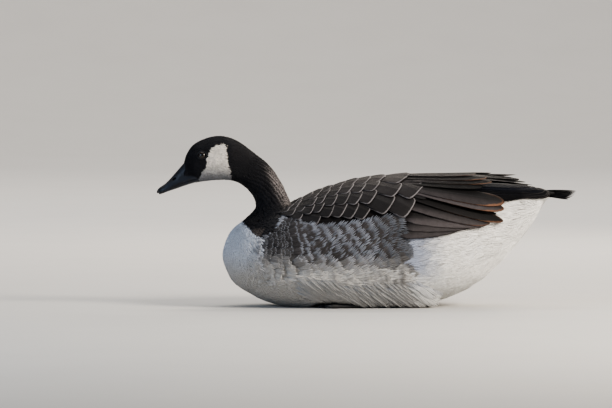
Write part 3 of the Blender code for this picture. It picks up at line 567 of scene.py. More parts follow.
# Where one marking turns into the next, from and to: along x, up z, in degrees from the back, or aside,
# which is x on a line that leans forward below a height.
ASIDE_LEAN, ASIDE_HEIGHT = 0.2, 87.0
BREAST_TINTS, BREAST_EDGES, BREAST_FRINGES = (-168.0, -136.0), (-168.0, -146.0), (-166.0, -152.0)
FLANK_TINTS, FLANK_FRINGES, BELLY_HEIGHTS = (-120.0, -80.0), (-116.0, -76.0), (82.0, 40.0)
# Along the second pair of x the vent's painted shadow gives way to white.
VENT_XS, VENT_WHITE_XS, VENT_LOW_HEIGHTS = (46.0, 52.0), (72.0, 122.0), (66.0, 24.0)
BACK_XS, WING_X, RUMP_XS = (-112.0, -104.0), 60.0, (138.0, 150.0)
BAND_XS, BAND_DEGREES = (202.0, 206.0, 218.0, 221.0), (54.0, 42.0)
NAPE_XS, NAPE_HEIGHTS, CROWN_HEIGHTS = (-134.0, -108.0), (180.0, 215.0), (196.0, 215.0)
# The cheek's painted shade gives way to cream between these heights.
CHEEK_HEIGHTS, CHEEK_END = (176.0, 208.0), -180.0

# Widths of the fringes in millimetres.
BREAST_FRINGE, FLANK_FRINGE, VENT_FRINGE, BACK_FRINGE, NAPE_FRINGE = 2.4, 6.6, 1.5, 1.3, 0.8


def cover(marks, share, tint, edge=None, width=None):
    """Markings, as tint, fringe and its width, covered by others by share."""
    lower_tint, lower_edge, lower_width = marks
    if width is not None:
        lower_width = between(lower_width, width, share)
    return mix(lower_tint, tint, share), mix(lower_edge, tint if edge is None else edge, share), lower_width


def markings(points, spots):
    """Colours of the plumage at points of the body that lie at spots: tint, fringe and its width."""
    x, z = points[..., 0], points[..., 2]
    side_x = x + 2.0 * wobble(points, 9.0, 3)
    aside = side_x - ASIDE_LEAN * (z - ASIDE_HEIGHT)
    # The breast's pale grey carries a painted cool blue shade.
    tint = mix(BREAST_WITH_PAINTED_COOL_SHADE, BREAST_BAR, smooth(aside, *BREAST_TINTS) ** 0.7)
    tint = mix(tint, FLANK, smooth(side_x, *FLANK_TINTS))
    edge = mix(BREAST_WITH_PAINTED_COOL_SHADE, FLANK_TIP_WITH_PAINTED_COOL_SHADE, smooth(aside, *BREAST_EDGES))
    width = between(0.0, BREAST_FRINGE, smooth(aside, *BREAST_FRINGES))
    marks = tint, edge, between(width, FLANK_FRINGE, smooth(x, *FLANK_FRINGES))
    marks = cover(marks, smooth(z, *BELLY_HEIGHTS), BELLY)
    # The vent's white, with a painted blue shadow towards its front under the wing, and greyer low down.
    white = mix(VENT_PAINTED_SHADOW, WHITE, smooth(x, *VENT_WHITE_XS))
    white = mix(white, VENT_LOW, smooth(z, *VENT_LOW_HEIGHTS))
    marks = cover(marks, smooth(side_x, *VENT_XS), white, width=VENT_FRINGE)
    flank_top, wing_low = line_at(FLANK_TOP, x), line_at(WING_LOW, x)
    back = smooth(z, flank_top, flank_top + 3.0) * smooth(side_x, *BACK_XS) * (x < WING_X)
    back = np.maximum(back, smooth(z, wing_low, wing_low + 3.0) * (x >= WING_X))
    marks = cover(marks, back, BROWN, BROWN_FRINGE, BACK_FRINGE)
    marks = cover(marks, smooth(x, *RUMP_XS) * back, RUMP, width=0.0)
    band = window(x, *BAND_XS) * smooth(np.degrees(folded(spots)), *BAND_DEGREES)
    return neck_markings(points, cover(marks, band, WHITE))


def neck_markings(points, marks):
    """The black head and neck, its pale speckle behind, the cheek patch and the small patch below."""
    x, z = points[..., 0], points[..., 2]
    fine = wobble(points, 3.2, 5)
    black = smooth(inside(BLACK_NECK, x, z) + 1.2 * fine, -0.8, 0.8)
    nape = smooth(x + 0.45 * (z - 150.0), *NAPE_XS) * (1.0 - smooth(z, *NAPE_HEIGHTS))
    warm = np.clip(nape + 0.3 * smooth(z, *CROWN_HEIGHTS) * (x > -190.0), 0.0, 1.0)
    dark = mix(BLACK, BLACK_WARM, warm)
    tint, edge, width = cover(marks, black, dark, mix(dark, SPECKLE, nape), NAPE_FRINGE * nape)
    patch = smooth(inside(BIB_PATCH, x, z) + 1.5 * fine, -1.0, 1.0)
    marks = mix(tint, BIB, patch * 0.8), mix(edge, SPECKLE, patch), width
    shown = smooth(inside(CHEEK, x, z) + 0.7 * fine, -0.5, 0.5) * (x < CHEEK_END)
    # The cheek patch: cream above, darkening downwards as painted shade.
    return cover(marks, shown, mix(CHEEK_PAINTED_SHADE, CREAM, smooth(z, *CHEEK_HEIGHTS)), width=0.0)


def web_share(x, start):
    """How far the foot's web has spread at x, from 0 at its start to 1 at its end."""
    return np.clip((start - x) / WEB_LENGTH, 0.0, 1.0)


def foot_ceiling(x, y):
    """The height over each tucked foot that skin and coat stay above."""
    heel_x, foot_y, _ = HEEL
    toe_x = heel_x - TARSUS_LENGTH
    aside = np.abs(np.abs(y) - foot_y)
    off = np.hypot(np.maximum(x - heel_x, 0.0) + np.maximum(toe_x - x, 0.0), aside)
    tarsus = TARSUS_COVER * (1.0 - smooth(off, *TARSUS_SIDES))
    narrow, wide = WEB_HALF_WIDTHS
    off = np.maximum(aside - narrow - wide * web_share(x, toe_x + 4.0), 0.0)
    off = off + np.maximum(-WEB_LENGTH - x, 0.0)
    toes = TOE_COVER * (1.0 - smooth(off, *TOE_SIDES)) * (x < toe_x + 6.0)
    return np.maximum(tarsus, toes)


def settle(points):
    """Lifts the points of skin and coat that lie low over the feet, and keeps all above the floor."""
    low = points[..., 2] < 24.0
    ceiling = np.where(low, foot_ceiling(points[..., 0], points[..., 1]), 0.0)
    points[..., 2] = np.maximum(points[..., 2], np.maximum(ceiling, FLOOR_GAP))
    return points


TIP_SHARE = 0.86


def rim_distances(style, length, half_width):
    """Distance of each point of a flat vane from its outline in millimetres, raised along its sides."""
    along, across = style.shape[:, :1] * length, style.section[:, 0]
    if style.side is None:
        return np.repeat(length - along, len(across), axis=1)
    one_side = np.column_stack([along, style.shape[:, 1] * half_width])
    outline = np.concatenate([one_side, one_side[::-1] * [1.0, -1.0]])
    a, run = outline[:-1], np.diff(outline, axis=0)
    points = np.stack([along + 0.0 * across, one_side[:, 1:] * across], axis=-1)[:, :, None]
    share = np.clip(dot(points - a, run) / np.maximum(dot(run, run), 1e-9), 0.0, 1.0)
    weight = np.where(a[:, 0] + run[:, 0] / 2 > TIP_SHARE * length, 1.0, style.side)
    return (np.linalg.norm(points - a - run * share[..., None], axis=-1) * weight).min(-1)


# The bake map: the way that it spans from a little before the first station, and its border. Each vane
# has a small patch of it round its root.
BAKE_START, BAKE_LENGTH = 8.0, 670.0
BAKE_BORDER, BAKE_PATCH = 0.01, 0.003


def bake_places(spots):
    """Places on the bake map of places on the bird."""
    way = (spots[..., 0] - WAYS[0] + BAKE_START) / BAKE_LENGTH
    whole = np.stack([way, np.mod(spots[..., 1], TURN) / TURN], axis=-1)
    return BAKE_BORDER + (1.0 - 2.0 * BAKE_BORDER) * whole


class Coat:
    """The feathers of one piece, gathered batch by batch, with all that its material reads."""

    def __init__(self):
        self.start = 0
        self.draw = np.random.default_rng(11)
        self.data = {}

    def lay(self, roots, tips, half_widths, heights, style, colours, tilt=0.0, lines=None):
        """Feathers laid on the body from roots to tips, whose heights over it run from one to the other.

        Lines, when given, are the places of each feather's shaft, one for each row of its shape."""
        share, wide, rise = style.shape.T
        across, arch, under = style.section.T
        side = np.where(np.mod(roots[:, 1], TURN) < math.pi, 1.0, -1.0)[:, None, None]
        if lines is None:
            lines = roots[:, None] + (tips - roots)[:, None] * share[:, None]
        frames = sample(FRAMES, lines)
        steps = np.gradient(lines, share, axis=1)
        run = frames[..., 6:9] * steps[..., :1] + frames[..., 9:12] * steps[..., 1:]
        length = np.linalg.norm(run, axis=-1).mean(1)
        step = surface_step(frames, unit(np.cross(frames[..., 3:6], run)))
        half_widths = np.broadcast_to(half_widths, len(roots))
        reach = half_widths[:, None, None] * wide[:, None] * across
        spots = sample(FRAMES, lines[:, :, None] + step[:, :, None] * reach[..., None])
        lift = (heights[:, :1] + (heights[:, 1:] - heights[:, :1]) * rise)[..., None]
        tilt = np.broadcast_to(tilt, len(roots))[:, None, None] * side * across
        lift = lift + (style.camber * arch - style.thickness * under + tilt) * wide[:, None]
        points = settle(spots[..., :3] + spots[..., 3:6] * lift[..., None])
        rim = rim_distances(style, length.mean(), half_widths.mean())
        self.add(points, -reach * side, length, rim, style, colours, roots)

    def add(self, points, across, lengths, rim, style, colours, roots):
        """One batch of vanes: their points, and how far each is across the vane and from its rim."""
        tint, edge, width = colours
        spread = points.shape[:3]
        share = np.broadcast_to(style.shape[:, :1], spread)
        lot = np.broadcast_to(self.draw.uniform(0, 1, len(points))[:, None, None], spread)
        index = self.start + np.arange(share.size).reshape(spread)
        self.start += share.size
        following = np.roll(index, -1, axis=2)
        quads = np.stack([index[:, :-1], index[:, 1:], following[:, 1:], following[:, :-1]], axis=-1)
        under = style.section[:, 2] > 0
        under = under | np.roll(under, -1) if under.any() else np.arange(spread[2]) == spread[2] - 1
        patch = np.stack([share - 0.5, across / (2 * np.abs(across).max() + 1e-9)], axis=-1)
        batch = {
            "points": points,
            "quads": quads,
            "under": np.broadcast_to(under[:, None], quads.shape[:3] + (1,)),
            "caps": np.concatenate([index[:, 0], index[:, -1, ::-1]]),
            "vane": np.stack([across, share * lengths[:, None, None], np.broadcast_to(rim, spread)], axis=-1),
            "lot": np.stack([lot, share, np.full(spread, style.shaft)], axis=-1),
            "tint": np.broadcast_to(opaque(tint)[:, None, None], spread + (4,)),
            "edge": np.broadcast_to(np.column_stack([edge, width])[:, None, None], spread + (4,)),
            "bake": bake_places(roots)[:, None, None] + BAKE_PATCH * patch,
        }
        for name, values in batch.items():
            self.data.setdefault(name, []).append(values.reshape(-1, values.shape[-1]))

    def make(self, name, material, slot, *nodes):
        """The piece's mesh object, in place of nodes. The slot is not used."""
        data = {key: np.concatenate(values) for key, values in self.data.items()}
        quads, caps = data["quads"], data["caps"]
        loops = np.concatenate([quads.ravel(), caps.ravel()])
        totals = np.repeat([4, caps.shape[1]], [len(quads), len(caps)])
        obj = mesh_object(name, data["points"], loops, totals, material, slot, *nodes)
        flat = np.concatenate([data["under"].ravel(), np.ones(len(caps), bool)])
        obj.data.attributes.new("sharp_face", "BOOLEAN", "FACE").data.foreach_set("value", flat)
        for key in ("vane", "lot", "tint", "edge"):
            put(obj.data, key, data[key])
        bake_map(obj.data, data["bake"][loops])


def opaque(colours):
    """Colours with an alpha of one."""
    return np.column_stack([colours, np.ones(len(colours))])


def put(mesh, name, values):
    """Stores a vector or a colour for each point of a mesh as a named attribute."""
    kind, field = {3: ("FLOAT_VECTOR", "vector"), 4: ("FLOAT_COLOR", "color")}[values.shape[1]]
    attribute = mesh.attributes.new(name, kind, "POINT")
    attribute.data.foreach_set(field, np.ascontiguousarray(values, np.float32).ravel())


def bake_map(mesh, corners):
    """Stores the map that a bake of the piece uses, one place for each corner of each face."""
    layer = mesh.uv_layers.new(name="OFBake")
    layer.data.foreach_set("uv", np.ascontiguousarray(corners, np.float32).ravel())


def mesh_object(name, points, loops, totals, material, slot, *nodes):
    """A smooth piece from points in millimetres and faces as corners and corner counts."""
    mesh = bpy.data.meshes.new(name)
    mesh.vertices.add(len(points))
    mesh.vertices.foreach_set("co", (np.asarray(points) * MM).astype(np.float32).ravel())
    mesh.loops.add(len(loops))
    mesh.loops.foreach_set("vertex_index", np.asarray(loops, np.int32))
    mesh.polygons.add(len(totals))
    starts = np.concatenate([[0], np.cumsum(totals)[:-1]])
    mesh.polygons.foreach_set("loop_start", starts.astype(np.int32))
    mesh.update(calc_edges=True)
    mesh.validate()
    mesh.shade_smooth()
    mesh.materials.append(material)
    obj = linked(name, mesh)
    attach(obj, "root")
    if nodes:
        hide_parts(*nodes)
    return obj


def linked(name, data):
    """A new object in the scene."""
    obj = bpy.data.objects.new(name, data)
    bpy.context.scene.collection.objects.link(obj)
    return obj


def loft_faces(rings, closed_ends):
    """Faces of one loft, facing outwards, as quads and end faces."""
    count, around = rings.shape[:2]
    index = np.arange(count * around).reshape(count, around)
    following = np.roll(index, -1, axis=1)
    quads = np.stack([index[:-1], following[:-1], following[1:], index[1:]], axis=-1).reshape(-1, 4)
    corners = rings.reshape(-1, 3)[quads[:, :3]] - rings.reshape(-1, 3).mean(0)
    inward = np.linalg.det(corners).sum() < 0
    ends = [index[0, ::-1], index[-1]] if closed_ends else []
    if inward:
        return quads[:, ::-1], [end[::-1] for end in ends]
    return quads, ends


def lofts_object(name, lofts, material, slot, *nodes, closed_ends=True):
    """A smooth piece of one or more lofts, each a stack of rings with ends closed by one face each."""
    points, loops, totals, start = [], [], [], 0
    for rings in lofts:
        rings = np.asarray(rings, float)
        quads, ends = loft_faces(rings, closed_ends)
        loops += [quads.ravel() + start] + [end + start for end in ends]
        totals += [np.full(len(quads), 4), np.full(len(ends), rings.shape[1])]
        points.append(rings.reshape(-1, 3))
        start += len(points[-1])
    joined = (np.concatenate(rows) for rows in (points, loops, totals))
    return mesh_object(name, *joined, material, slot, *nodes)


# Materials.


class Nodes:
    """A material's node tree, with short calls for the nodes that the materials here use."""

    def __init__(self, name):
        self.material = bpy.data.materials.new(name)
        self.material.use_nodes = True
        self.tree = self.material.node_tree
        self.shader = self.tree.nodes["Principled BSDF"]

    def join(self, value, socket):
        """Links a socket, or sets a plain value, with an alpha of one for a colour without it."""
        if isinstance(value, bpy.types.NodeSocket):
            self.tree.links.new(value, socket)
        elif socket.type == "RGBA":
            socket.default_value = (*value[:3], 1.0)
        else:
            socket.default_value = value

    def node(self, kind, *values, **settings):
        """A node of a kind with its settings, and values for its inputs from the first on."""
        node = self.tree.nodes.new("ShaderNode" + kind)
        for name, value in settings.items():
            setattr(node, name, value)
        for value, socket in zip(values, node.inputs):
            self.join(value, socket)
        return node

    def attribute(self, name):
        return self.node("Attribute", attribute_name=name)

    def parts(self, name):
        """The three numbers of a vector attribute."""
        return self.node("SeparateXYZ", self.attribute(name).outputs["Vector"]).outputs

    def math(self, operation, a, b=0.0):
        return self.node("Math", a, b, operation=operation).outputs[0]

    def plus(self, a, b):
        return self.math("ADD", a, b)

    def minus(self, a, b):
        return self.math("SUBTRACT", a, b)

    def times(self, a, b):
        return self.math("MULTIPLY", a, b)

    def ramp(self, value, low, high, start=0.0, end=1.0):
        """Start up to low and end from high on, with a smooth run between them."""
        return self.node("MapRange", value, low, high, start, end, interpolation_type="SMOOTHSTEP").outputs[0]

    def mix(self, share, a, b, blend="MIX"):
        """A colour from a to b by share."""
        node = self.node("Mix", share, data_type="RGBA", blend_type=blend)
        self.join(a, node.inputs[6])
        self.join(b, node.inputs[7])
        return node.outputs[2]

    def toned(self, colour, tone):
        """A colour times a tone of grey."""
        return self.mix(1.0, colour, self.combine(tone, tone, tone), "MULTIPLY")

    def place(self):
        return self.node("TexCoord").outputs["Object"]

    def noise(self, scale, detail=3.0, vector=None):
        node = self.node("TexNoise")
        values = {"Scale": scale, "Detail": detail, "Roughness": 0.55, "Vector": vector or self.place()}
        for name, value in values.items():
            self.join(value, node.inputs[name])
        return node.outputs["Fac"]

    def combine(self, x, y, z):
        return self.node("CombineXYZ", x, y, z).outputs[0]

    def bump(self, height, strength, distance):
        node = self.node("Bump")
        for name, value in (("Strength", strength), ("Distance", distance), ("Height", height)):
            self.join(value, node.inputs[name])
        self.join(node.outputs[0], self.shader.inputs["Normal"])

    def finish(self, **values):
        """The material, with the shader's own sockets set. A name has _ for each space."""
        for name, value in values.items():
            self.join(value, self.shader.inputs[name.replace("_", " ")])
        return self.material


# Barbs of the feathers: distance between two, how far they slant back for each millimetre sideways, how
# much they waver, and how much they change the tone.
BARB_STEP = 0.85
BARB_SLANT = 1.15
BARB_WAVER = 1.2
BARB_TONE = 0.05


def plumage_material(name, roughness, sheen, sheen_tint, specular, variation, shade=0.0):
    """Feathers: tint and fringe from the piece's attributes, barbs, shaft and a little wear.

    Shade is painted: it darkens the upper part of each vane, where the feather that lies over it would shadow
    it, and lightens the lower part as painted light."""
    nodes = Nodes(name)
    plus, minus, times, ramp = nodes.plus, nodes.minus, nodes.times, nodes.ramp
    tint, edge = nodes.attribute("tint"), nodes.attribute("edge")
    across, along, rim = nodes.parts("vane")
    lot, share, shaft = nodes.parts("lot")
    width = edge.outputs["Alpha"]
    ragged = nodes.noise(420.0)
    worn = plus(rim, times(minus(ragged, 0.5), times(width, 1.1)))
    ratio = nodes.math("DIVIDE", worn, nodes.math("MAXIMUM", width, 0.01))
    fringe = times(ramp(ratio, 1.25, 0.6), ramp(share, 0.3, 0.62))
    fringe = times(fringe, ramp(width, 0.05, 0.3))
    side = nodes.math("ABSOLUTE", across)
    barb = plus(minus(along, times(side, BARB_SLANT)), times(ragged, BARB_WAVER))
    barbs = nodes.math("SINE", times(barb, TURN / BARB_STEP))
    tone = plus(times(barbs, BARB_TONE), ramp(lot, 0.0, 1.0, 1.0 - variation, 1.0 + variation))
    tone = times(tone, ramp(nodes.noise(160.0, 4.0), 0.25, 0.75, 1.0 - variation, 1.0 + variation))
    tone = times(tone, minus(1.0, times(ramp(side, 0.55, 0.25), times(shaft, 0.45))))
    # Painted shade on the upper part of each vane and painted light on its lower part.
    if shade:
        tone = times(tone, ramp(across, -8.0, 4.0, 1.0 + 0.5 * shade, 1.0 - shade))
    nodes.bump(plus(barbs, times(ragged, 1.5)), 0.35, 0.00012)
    return nodes.finish(
        Base_Color=nodes.toned(nodes.mix(fringe, tint.outputs["Color"], edge.outputs["Color"]), tone),
        Roughness=roughness, Sheen_Weight=sheen, Sheen_Roughness=0.45, Sheen_Tint=sheen_tint,
        Specular_IOR_Level=specular,
    )


def skin_material():
    """The skin under the coat, in the plumage's own colours with a downy grain."""
    nodes = Nodes("plumage_ground")
    down = nodes.noise(900.0, 4.0)
    broad = nodes.ramp(nodes.noise(120.0), 0.3, 0.7, 0.85, 1.0)
    tone = nodes.times(nodes.ramp(down, 0.3, 0.7, 0.7, 1.0), broad)
    nodes.bump(down, 0.6, 0.0005)
    colour = nodes.toned(nodes.attribute("tint").outputs["Color"], tone)
    return nodes.finish(Base_Color=colour, Roughness=0.9, Specular_IOR_Level=0.2)


def horn_material():
    """The bill: black horn tinted blue as a painted sky reflection, with a satin gloss, finely grained and a
    little worn.
    """
    nodes = Nodes("bill_horn")
    fine, broad = nodes.noise(700.0, 4.0), nodes.noise(95.0)
    colour = nodes.mix(nodes.ramp(broad, 0.4, 0.75), HORN_WITH_PAINTED_SKY, HORN_LIGHT_WITH_PAINTED_SKY)
    colour = nodes.mix(nodes.ramp(fine, 0.6, 0.8, 0.0, 0.5), colour, HORN_WORN)
    nodes.bump(nodes.plus(nodes.times(fine, 0.5), broad), 0.35, 0.0004)
    return nodes.finish(
        Base_Color=colour, Roughness=nodes.ramp(broad, 0.3, 0.7, 0.42, 0.50), Coat_Weight=0.08,
        Coat_Roughness=0.25, Specular_IOR_Level=0.45,
    )


def eye_material():
    """The eyeball: black pupil, dark brown iris with fine spokes, a wet clear coat."""
    nodes = Nodes("eye_wet")
    out, turn, _ = nodes.parts("ball")
    spokes = nodes.noise(1.0, 2.0, nodes.combine(nodes.times(turn, 9.0), nodes.times(out, 0.4), 0.0))
    iris = nodes.mix(nodes.ramp(spokes, 0.35, 0.65), IRIS, IRIS_LIGHT)
    iris = nodes.mix(nodes.ramp(out, 4.0, 4.9), iris, IRIS_RIM)
    return nodes.finish(
        Base_Color=nodes.mix(nodes.ramp(out, 2.3, 2.6), PUPIL, iris), Roughness=0.12, Coat_Weight=1.0,
        Coat_Roughness=0.02, Coat_IOR=1.38, Specular_IOR_Level=0.2,
    )


def lid_material():
    """The bare rim of the lids: dark grey skin with fine beads."""
    nodes = Nodes("lid_skin")
    beads = nodes.noise(1500.0, 2.0)
    nodes.bump(beads, 0.5, 0.0002)
    colour = nodes.mix(nodes.ramp(beads, 0.35, 0.7), LID, LID_LIGHT)
    return nodes.finish(Base_Color=colour, Roughness=0.5, Specular_IOR_Level=0.4)


def foot_material():
    """The feet: dark scaled skin."""
    nodes = Nodes("foot_scales")
    cells = nodes.node("TexVoronoi", nodes.place(), feature="DISTANCE_TO_EDGE")
    cells.inputs["Scale"].default_value = 620.0
    scale = nodes.ramp(cells.outputs["Distance"], 0.0, 0.18)
    nodes.bump(scale, 0.6, 0.0004)
    colour = nodes.mix(scale, SCALE_GROOVE, SCALE)
    return nodes.finish(Base_Color=colour, Roughness=0.48, Specular_IOR_Level=0.45)


# The bird.


SKIN_COLUMNS, SKIN_ROWS = 180, 330
FLESH = ("head", "neck_upper", "neck_lower", "torso")


def beside_bill(turn, reach, spread):
    """The way at which skin or plumage begins, by the angle from the back: furthest ahead at the sides."""
    return -reach * np.exp(-(((np.degrees(turn) - 82.0) / spread) ** 2))


def skin_object(material):
    """One skin from the bill's base to the tail, which stands for all the nodes of flesh."""
    angles = np.linspace(0.0, TURN, SKIN_COLUMNS, endpoint=False)
    start = beside_bill(math.pi - np.abs(math.pi - angles), 8.0, 34.0) + 0.4
    ways = start + (GRID_WAYS[-1] - 1.0 - start) * np.linspace(0.0, 1.0, SKIN_ROWS)[:, None]
    spots = np.stack([ways, np.broadcast_to(angles, ways.shape)], axis=-1)
    frames = sample(FRAMES, spots)
    points = settle(frames[..., :3] + frames[..., 3:6] * frames[..., 12:13])
    obj = lofts_object("goose_skin", [points], material, "pale_plumage", *FLESH)
    tint, _, _ = markings(frames[..., :3], spots)
    put(obj.data, "tint", opaque(tint.reshape(-1, 3)))
    loops = np.zeros(len(obj.data.loops), np.int32)
    obj.data.loops.foreach_get("vertex_index", loops)
    corners = bake_places(spots).reshape(-1, 2)[loops]
    quads = corners[: 4 * (SKIN_ROWS - 1) * SKIN_COLUMNS].reshape(-1, 4, 2)
    wraps = np.ptp(quads[..., 1], axis=1) > 0.5
    quads[wraps, :, 1] = np.where(quads[wraps, :, 1] < 0.5, 1.0 - BAKE_BORDER, quads[wraps, :, 1])
    bake_map(obj.data, corners)


def clear_of_eyes(spots):
    """Which places lie outside the bare room round the eyes."""
    points = sample(POINT, spots)
    return np.min([np.linalg.norm(points - eye, axis=-1) for eye in EYES.values()], axis=0) > EYE_CLEAR


def bed_at(spots):
    """The skin's height over the body's outline form at places."""
    return sample(BED[..., None], spots)[:, 0]


def strewn_coat(
    name, material, slot, count, density, seed, length, half_width, tip_rise, root_rise=-0.25, ruffle=0.16,
    tone=0.14, ahead=None, tint_share=0.75,
):
    """A piece of small feathers strewn over the grid by density, with sizes given over the way.

    Tint share is the part of its length at which a feather takes its colour from the markings.
    Ahead, when given, is the x at the waterline behind which the plumage keeps its colours from there."""
    draw = np.random.default_rng(seed)
    spots = scatter(count, density, seed)
    spots = spots[(spots[:, 0] > beside_bill(folded(spots), 7.5, 32.0)) & clear_of_eyes(spots)]
    way, count = spots[:, 0], len(spots)
    lengths = np.interp(way, *length) * draw.uniform(0.85, 1.15, count)
    tips = towards(spots, lengths, draw.normal(0.0, ruffle, count))
    points = sample(POINT, spots + (tips - spots) * tint_share)
    if ahead is not None:
        z = points[:, 2]
        border = np.where(z > BREAST_LOW, ahead + ASIDE_LEAN * (z - ASIDE_HEIGHT), points[:, 0])
        points[:, 0] = np.minimum(points[:, 0], border)
    tint, edge, width = markings(points, spots)
    rise = np.interp(way, *tip_rise) + draw.normal(0.0, 0.12, count)
    heights = np.stack([bed_at(spots) + root_rise, rise], axis=-1)
    half_widths = np.interp(way, *half_width) * draw.uniform(0.85, 1.15, count)
    tint = tint * draw.uniform(1.0 - tone, 1.0 + tone, (count, 1))
    coat = Coat()
    coat.lay(spots, tips, half_widths, heights, TUFT, (tint, edge, width))
    coat.make(name, material, slot)


def lay_loose(coat, roots, tips, half_widths, heights, colours, draw, camber=1.4, fray=1.5, strands=9):
    """Loose feathers, each a bunch of strands that spread from the root to a round, frayed tip."""
    frames = sample(FRAMES, tips)
    run = frames[:, 6:9] * (tips - roots)[:, :1] + frames[:, 9:12] * (tips - roots)[:, 1:]
    length = np.linalg.norm(run, axis=1)
    across = surface_step(frames, unit(np.cross(frames[:, 3:6], run)))
    tint, edge, width = colours
    count = len(roots)
    for offset in np.linspace(-1.0, 1.0, strands):
        spread = (offset * (1.0 - 0.5 / strands) + draw.normal(0.0, 0.35 / strands, count)) * half_widths
        short = 0.9 * half_widths * (1.0 - math.sqrt(max(1.0 - 0.9 * offset**2, 0.0)))
        short = (short + np.abs(draw.normal(0.0, fray, count))) / length
        begin = roots + across * (0.4 * spread)[:, None]
        end = roots + (tips - roots) * (1.0 - short)[:, None] + across * spread[:, None]
        drop = camber * offset**2 + draw.normal(0.0, 0.12, count)
        levels = heights - np.stack([0.3 * drop, drop], axis=-1)
        shade = draw.uniform(0.9, 1.1, (count, 1))
        strand_widths = 1.35 * half_widths / strands
        coat.lay(begin, end, strand_widths, levels, STRAND, (tint * shade, edge * shade, width))


# Where the strewn coats begin and end: by way for the head and the neck, along x and up z for the rest.
HEAD_END, HEAD_DENSE = 84.0, (10.0, 50.0)
NECK_WAYS = (74.0, 84.0, 186.0, 196.0)
BREAST_XS, BREAST_END_XS, BREAST_WAY, BREAST_LOW = (-161.0, -153.0), (-118.0, -96.0), 164.0, 40.0
BELLY_XS, BELLY_END, BELLY_TOP = (-120.0, -96.0), 68.0, 46.0
RUMP_START, RUMP_END, RUMP_TOP, STUMP_START = 120.0, 158.0, 153.0, 232.0


def head_coat(material):
    """Fine dense feathers of the head, shortest round the bill and the eyes."""
    density = (WAY_GRID < HEAD_END) * (1.0 + 0.8 * (1.0 - smooth(WAY_GRID, *HEAD_DENSE)))
    strewn_coat(
        "head_plumage", material, "black_plumage", 9000, density, 21,
        length=((-8.0, 20.0, 50.0, 84.0), (2.6, 3.6, 5.6, 7.4)),
        half_width=((-8.0, 20.0, 50.0, 84.0), (0.75, 0.95, 1.3, 1.6)),
        tip_rise=((-8.0, 84.0), (0.1, 0.35)),
    )


def neck_coat(material):
    """The neck's feathers, lying along its furrows."""
    x, z = POINT[..., 0], POINT[..., 2]
    black = (inside(BLACK_NECK, x, z) > -3.0) | (x > -150.0)
    strewn_coat(
        "neck_plumage", material, "black_plumage", 9000, window(WAY_GRID, *NECK_WAYS) * black, 22,
        length=((74.0, 120.0, 190.0), (8.0, 9.5, 13.0)),
        half_width=((74.0, 120.0, 190.0), (1.5, 1.8, 2.6)),
        tip_rise=((74.0, 190.0), (0.35, 0.5)),
        ruffle=0.12,
    )


def breast_coat(material):
    """The soft pale feathers of the breast."""
    x, z = POINT[..., 0], POINT[..., 2]
    density = (1.0 - smooth(x, *BREAST_XS) * (z > BREAST_LOW)) * (1.0 - smooth(x, *BREAST_END_XS))
    density = density * (WAY_GRID > BREAST_WAY) * (inside(BLACK_NECK, x, z) < 2.0)
    strewn_coat(
        "breast_plumage", material, "pale_plumage", 8500, density, 23,
        length=((160.0, 330.0), (11.0, 17.0)),
        half_width=((160.0, 330.0), (2.0, 2.9)),
        tip_rise=((160.0, 330.0), (0.1, 0.1)),
        root_rise=0.7, ruffle=0.12, tone=0.05, ahead=BREAST_XS[0],
    )


def belly_coat(material):
    """The soft feathers of the belly and of the rump."""
    x, z = POINT[..., 0], POINT[..., 2]
    degrees = np.degrees(FOLDED_GRID)
    density = smooth(x, *BELLY_XS) * (z < BELLY_TOP) * (degrees > 90.0) * (x < BELLY_END)
    bare = np.where(x < RUMP_END, line_at(WING_LOW, x) + 5.0, RUMP_TOP)
    density = np.maximum(density, (x > RUMP_START) * (degrees < 80.0) * (z > bare))
    strewn_coat(
        "belly_plumage", material, "pale_plumage", 9000, np.maximum(density, x > STUMP_START), 26,
        length=((250.0, 560.0, 640.0), (25.0, 22.0, 12.0)),
        half_width=((250.0, 560.0, 640.0), (3.4, 2.8, 1.9)),
        tip_rise=((250.0, 560.0, 640.0), (0.0, 0.0, 0.2)),
        root_rise=0.9, ruffle=0.10, tone=0.04, tint_share=0.3,
    )


# The vent's feathers: their number, length and half width, and where their tips lie along x and up.
VENT_COUNT = 520
VENT_LENGTH = 34.0
VENT_HALF_WIDTH = 8.5
VENT_START, VENT_END, VENT_TOP = 69.0, 252.0, 158.0


def vent_coat(material):
    """The white feathers behind the flanks, up to the underside of the tail."""
    coat = Coat()
    draw = np.random.default_rng(28)
    x, z = POINT[..., 0], POINT[..., 2]
    top = np.minimum(line_at(WING_LOW, x) + 6.0, VENT_TOP)
    tips = scatter(VENT_COUNT, (x > VENT_START) * (x < VENT_END) * (z < top) * (FOLDED_GRID > 1.0), 28)
    count = len(tips)
    points = sample(POINT, tips)
    frames, flow = flow_at(tips, draw.normal(0.0, 0.12, count) + 0.22 * wobble(points, 70.0, 29))
    lengths = VENT_LENGTH * draw.uniform(0.85, 1.15, count)
    roots = tips - surface_step(frames, flow) * lengths[:, None]
    colours = markings(points - [2.0, 0.0, 0.0], tips)
    rise = draw.normal(0.5, 0.3, count) + 0.6 * wobble(points, 34.0, 30)
    heights = np.stack([np.full(count, -2.3), rise], axis=-1)
    half_widths = VENT_HALF_WIDTH * draw.uniform(0.85, 1.15, count)
    lay_loose(coat, roots, tips, half_widths, heights, colours, draw, camber=0.8)
    coat.make("vent_plumage", material, "pale_plumage")


# The flank feathers grow from the small ones in front to the large ones behind. Each pair is the value of
# the smallest and of the largest: the steps between rows and within one, length and half width.
FLANK_START, FLANK_END, FLANK_LOW = -154.0, 53.0, 30.0
FLANK_GROWTH = (-112.0, -60.0)
FLANK_ROW_STEPS = (6.8, 12.0)
FLANK_STEPS = (7.0, 9.5)
FLANK_LENGTHS = (18.0, 36.0)
FLANK_HALF_WIDTHS = (6.0, 10.0)
